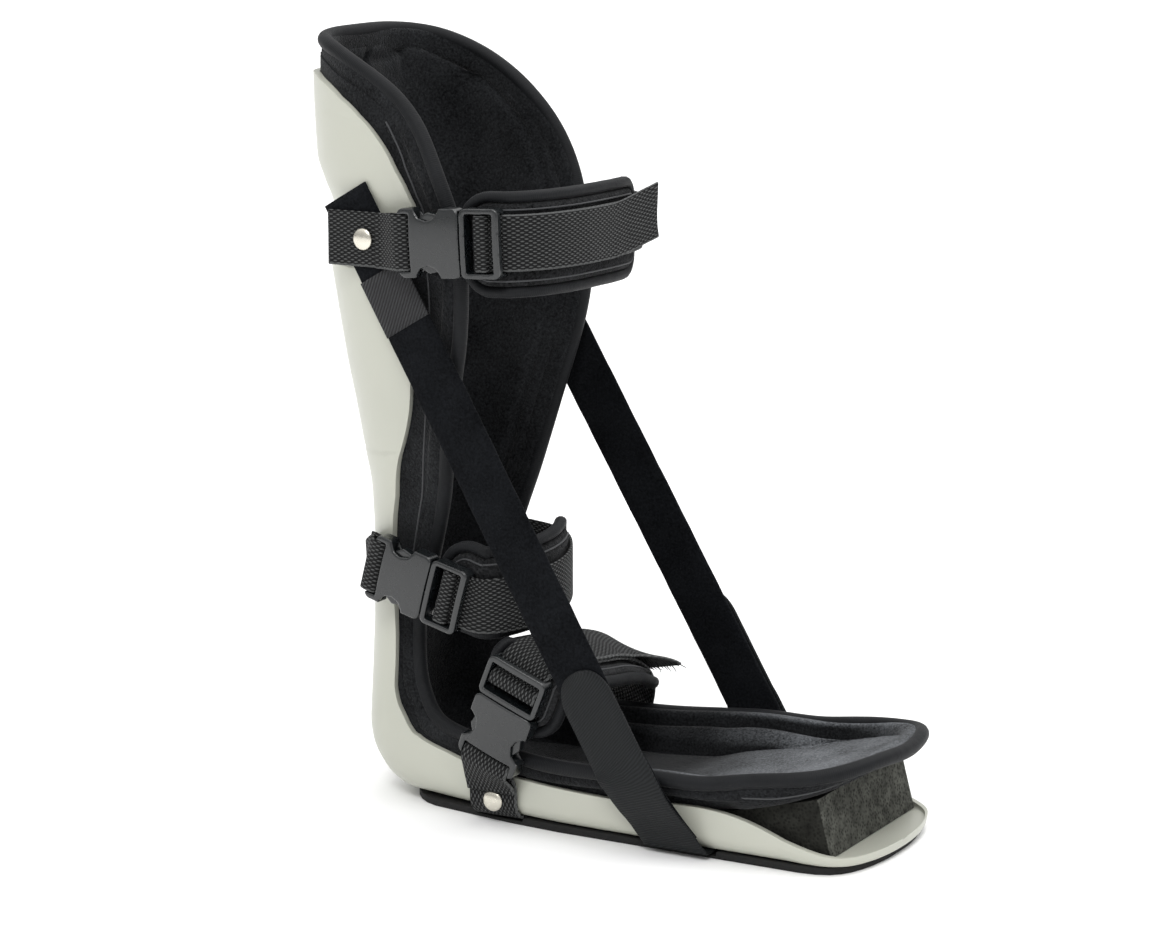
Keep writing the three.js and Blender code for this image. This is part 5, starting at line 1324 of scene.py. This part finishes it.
def rounded_copy(name, new_name, slot, width=None):
    source = nodes[name]
    mesh = bmesh.new()
    mesh.from_mesh(source.data)
    mesh.transform(source.matrix_world)
    bmesh.ops.remove_doubles(mesh, verts=mesh.verts, dist=0.00002)
    bmesh.ops.dissolve_limit(mesh, angle_limit=math.radians(4), verts=mesh.verts, edges=mesh.edges)
    data = bpy.data.meshes.new(new_name)
    mesh.to_mesh(data)
    mesh.free()
    data.materials.clear()
    data.materials.append(looks[slot])
    piece = add_object(new_name, data)
    if width:
        bevel(piece, width, 28).harden_normals = True
    data.polygons.foreach_set("use_smooth", [True] * len(data.polygons))
    data.set_sharp_from_angle(angle=math.radians(40))
    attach(piece, "root")
    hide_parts(name)
    return piece


BUCKLE_HALF = 15.5
SOCKET_CROWN, PLUG_CROWN, SOCKET_DROOP = 0.9, 0.5, 1.1

# A buckle half: the frame's solid with moulded, rounded edges and a crowned outer face.
def build_buckle(name, course, meet):
    piece = rounded_copy(name, f"{name}_moulded", "buckle_plastic")
    remesh = piece.modifiers.new("moulded", "REMESH")
    remesh.mode = "VOXEL"
    remesh.voxel_size = 0.00042
    smooth = piece.modifiers.new("smooth", "SMOOTH")
    smooth.factor = 0.6
    smooth.iterations = 5
    graph = bpy.context.evaluated_depsgraph_get()
    shaped = bpy.data.meshes.new_from_object(piece.evaluated_get(graph))
    piece.modifiers.clear()
    piece.data = shaped
    place, run, across, outward = (row[0] for row in course.frames(np.array([meet])))
    points = np.empty(len(shaped.vertices) * 3)
    shaped.vertices.foreach_get("co", points)
    points = points.reshape(-1, 3) * PER_METRE
    local = points - place
    rise = np.clip((local @ outward) / BUCKLE_DEEP, 0, 1)
    socket = name.endswith("socket")
    crown = (SOCKET_CROWN if socket else PLUG_CROWN) * (1 - ((local @ across) / BUCKLE_HALF) ** 2) * rise
    if socket:
        crown -= SOCKET_DROOP * rise * np.clip(-(local @ run) / SOCKET_LENGTH, 0, 1) ** 2
    points += crown[:, None] * outward
    shaped.vertices.foreach_set("co", (points * MM).ravel())
    shaped.polygons.foreach_set("use_smooth", [True] * len(shaped.polygons))
    shaped.update()


def build_rivet(name, outward):
    low, high = (np.array(corner) * PER_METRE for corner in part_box(name))
    middle = (low + high) / 2
    head = high[1] if outward > 0 else low[1]
    base = head - outward * RIVET_DOME
    turns = np.linspace(0, 2 * math.pi, 40, endpoint=False)
    # The head's outline as (radius, height): the shank, the rim's underside and the dome.
    shape = [(1.9, -2.5), (1.9, -0.1), (4.55, -0.05), (4.9, 0.15), (RIVET_HEAD, 0.45)]
    shape += [(RIVET_HEAD * math.cos(a), 0.45 + (RIVET_DOME - 0.45) * math.sin(a))
              for a in np.linspace(0.12, math.pi / 2 - 0.02, 10)]
    rings = [[(middle[0] + r * math.cos(t), base + outward * h, middle[2] + r * math.sin(t))
              for t in turns] for r, h in shape]
    put(f"{name}_dome", loft(rings), "rivet_metal", [name], sharp=50)


# The scene, the camera first

make_camera()
hard_materials()
soft_materials()
make_studio()

build_shell()
liner_outer, liner_inner = build_liner()
build_binding(liner_outer, liner_inner)
welt_liner(liner_outer)
for strap_name, make_set, make_anchor in (
        ("calf", calf_set, calf_anchor), ("ankle", ankle_set, ankle_anchor),
        ("instep", instep_set, instep_anchor)):
    strap_course, strap_meet, strap_pad, strap_tail = make_set()
    build_strap(strap_name, strap_course, strap_meet, strap_tail)
    make_anchor(strap_course, strap_meet)
    build_pad(strap_name, strap_course, strap_pad)
    for half_name in ("socket", "plug"):
        build_buckle(f"{strap_name}_buckle_{half_name}", strap_course, strap_meet)
for side_name, sign, tab_top in (("near", -1, 0.198), ("far", 1, 0.225)):
    tension_strap(side_name, sign)
    if side_name == "near":
        sewn_patch()
    hook_tab(side_name, sign, tab_top)
    build_rivet(f"calf_rivet_{side_name}", sign)
    build_rivet(f"instep_rivet_{side_name}", sign)
rounded_copy("sole_tread", "sole_tread_rubber", "tread_rubber", 0.0006)
rounded_copy("toe_wedge", "toe_wedge_foam", "wedge_foam", 0.0011)
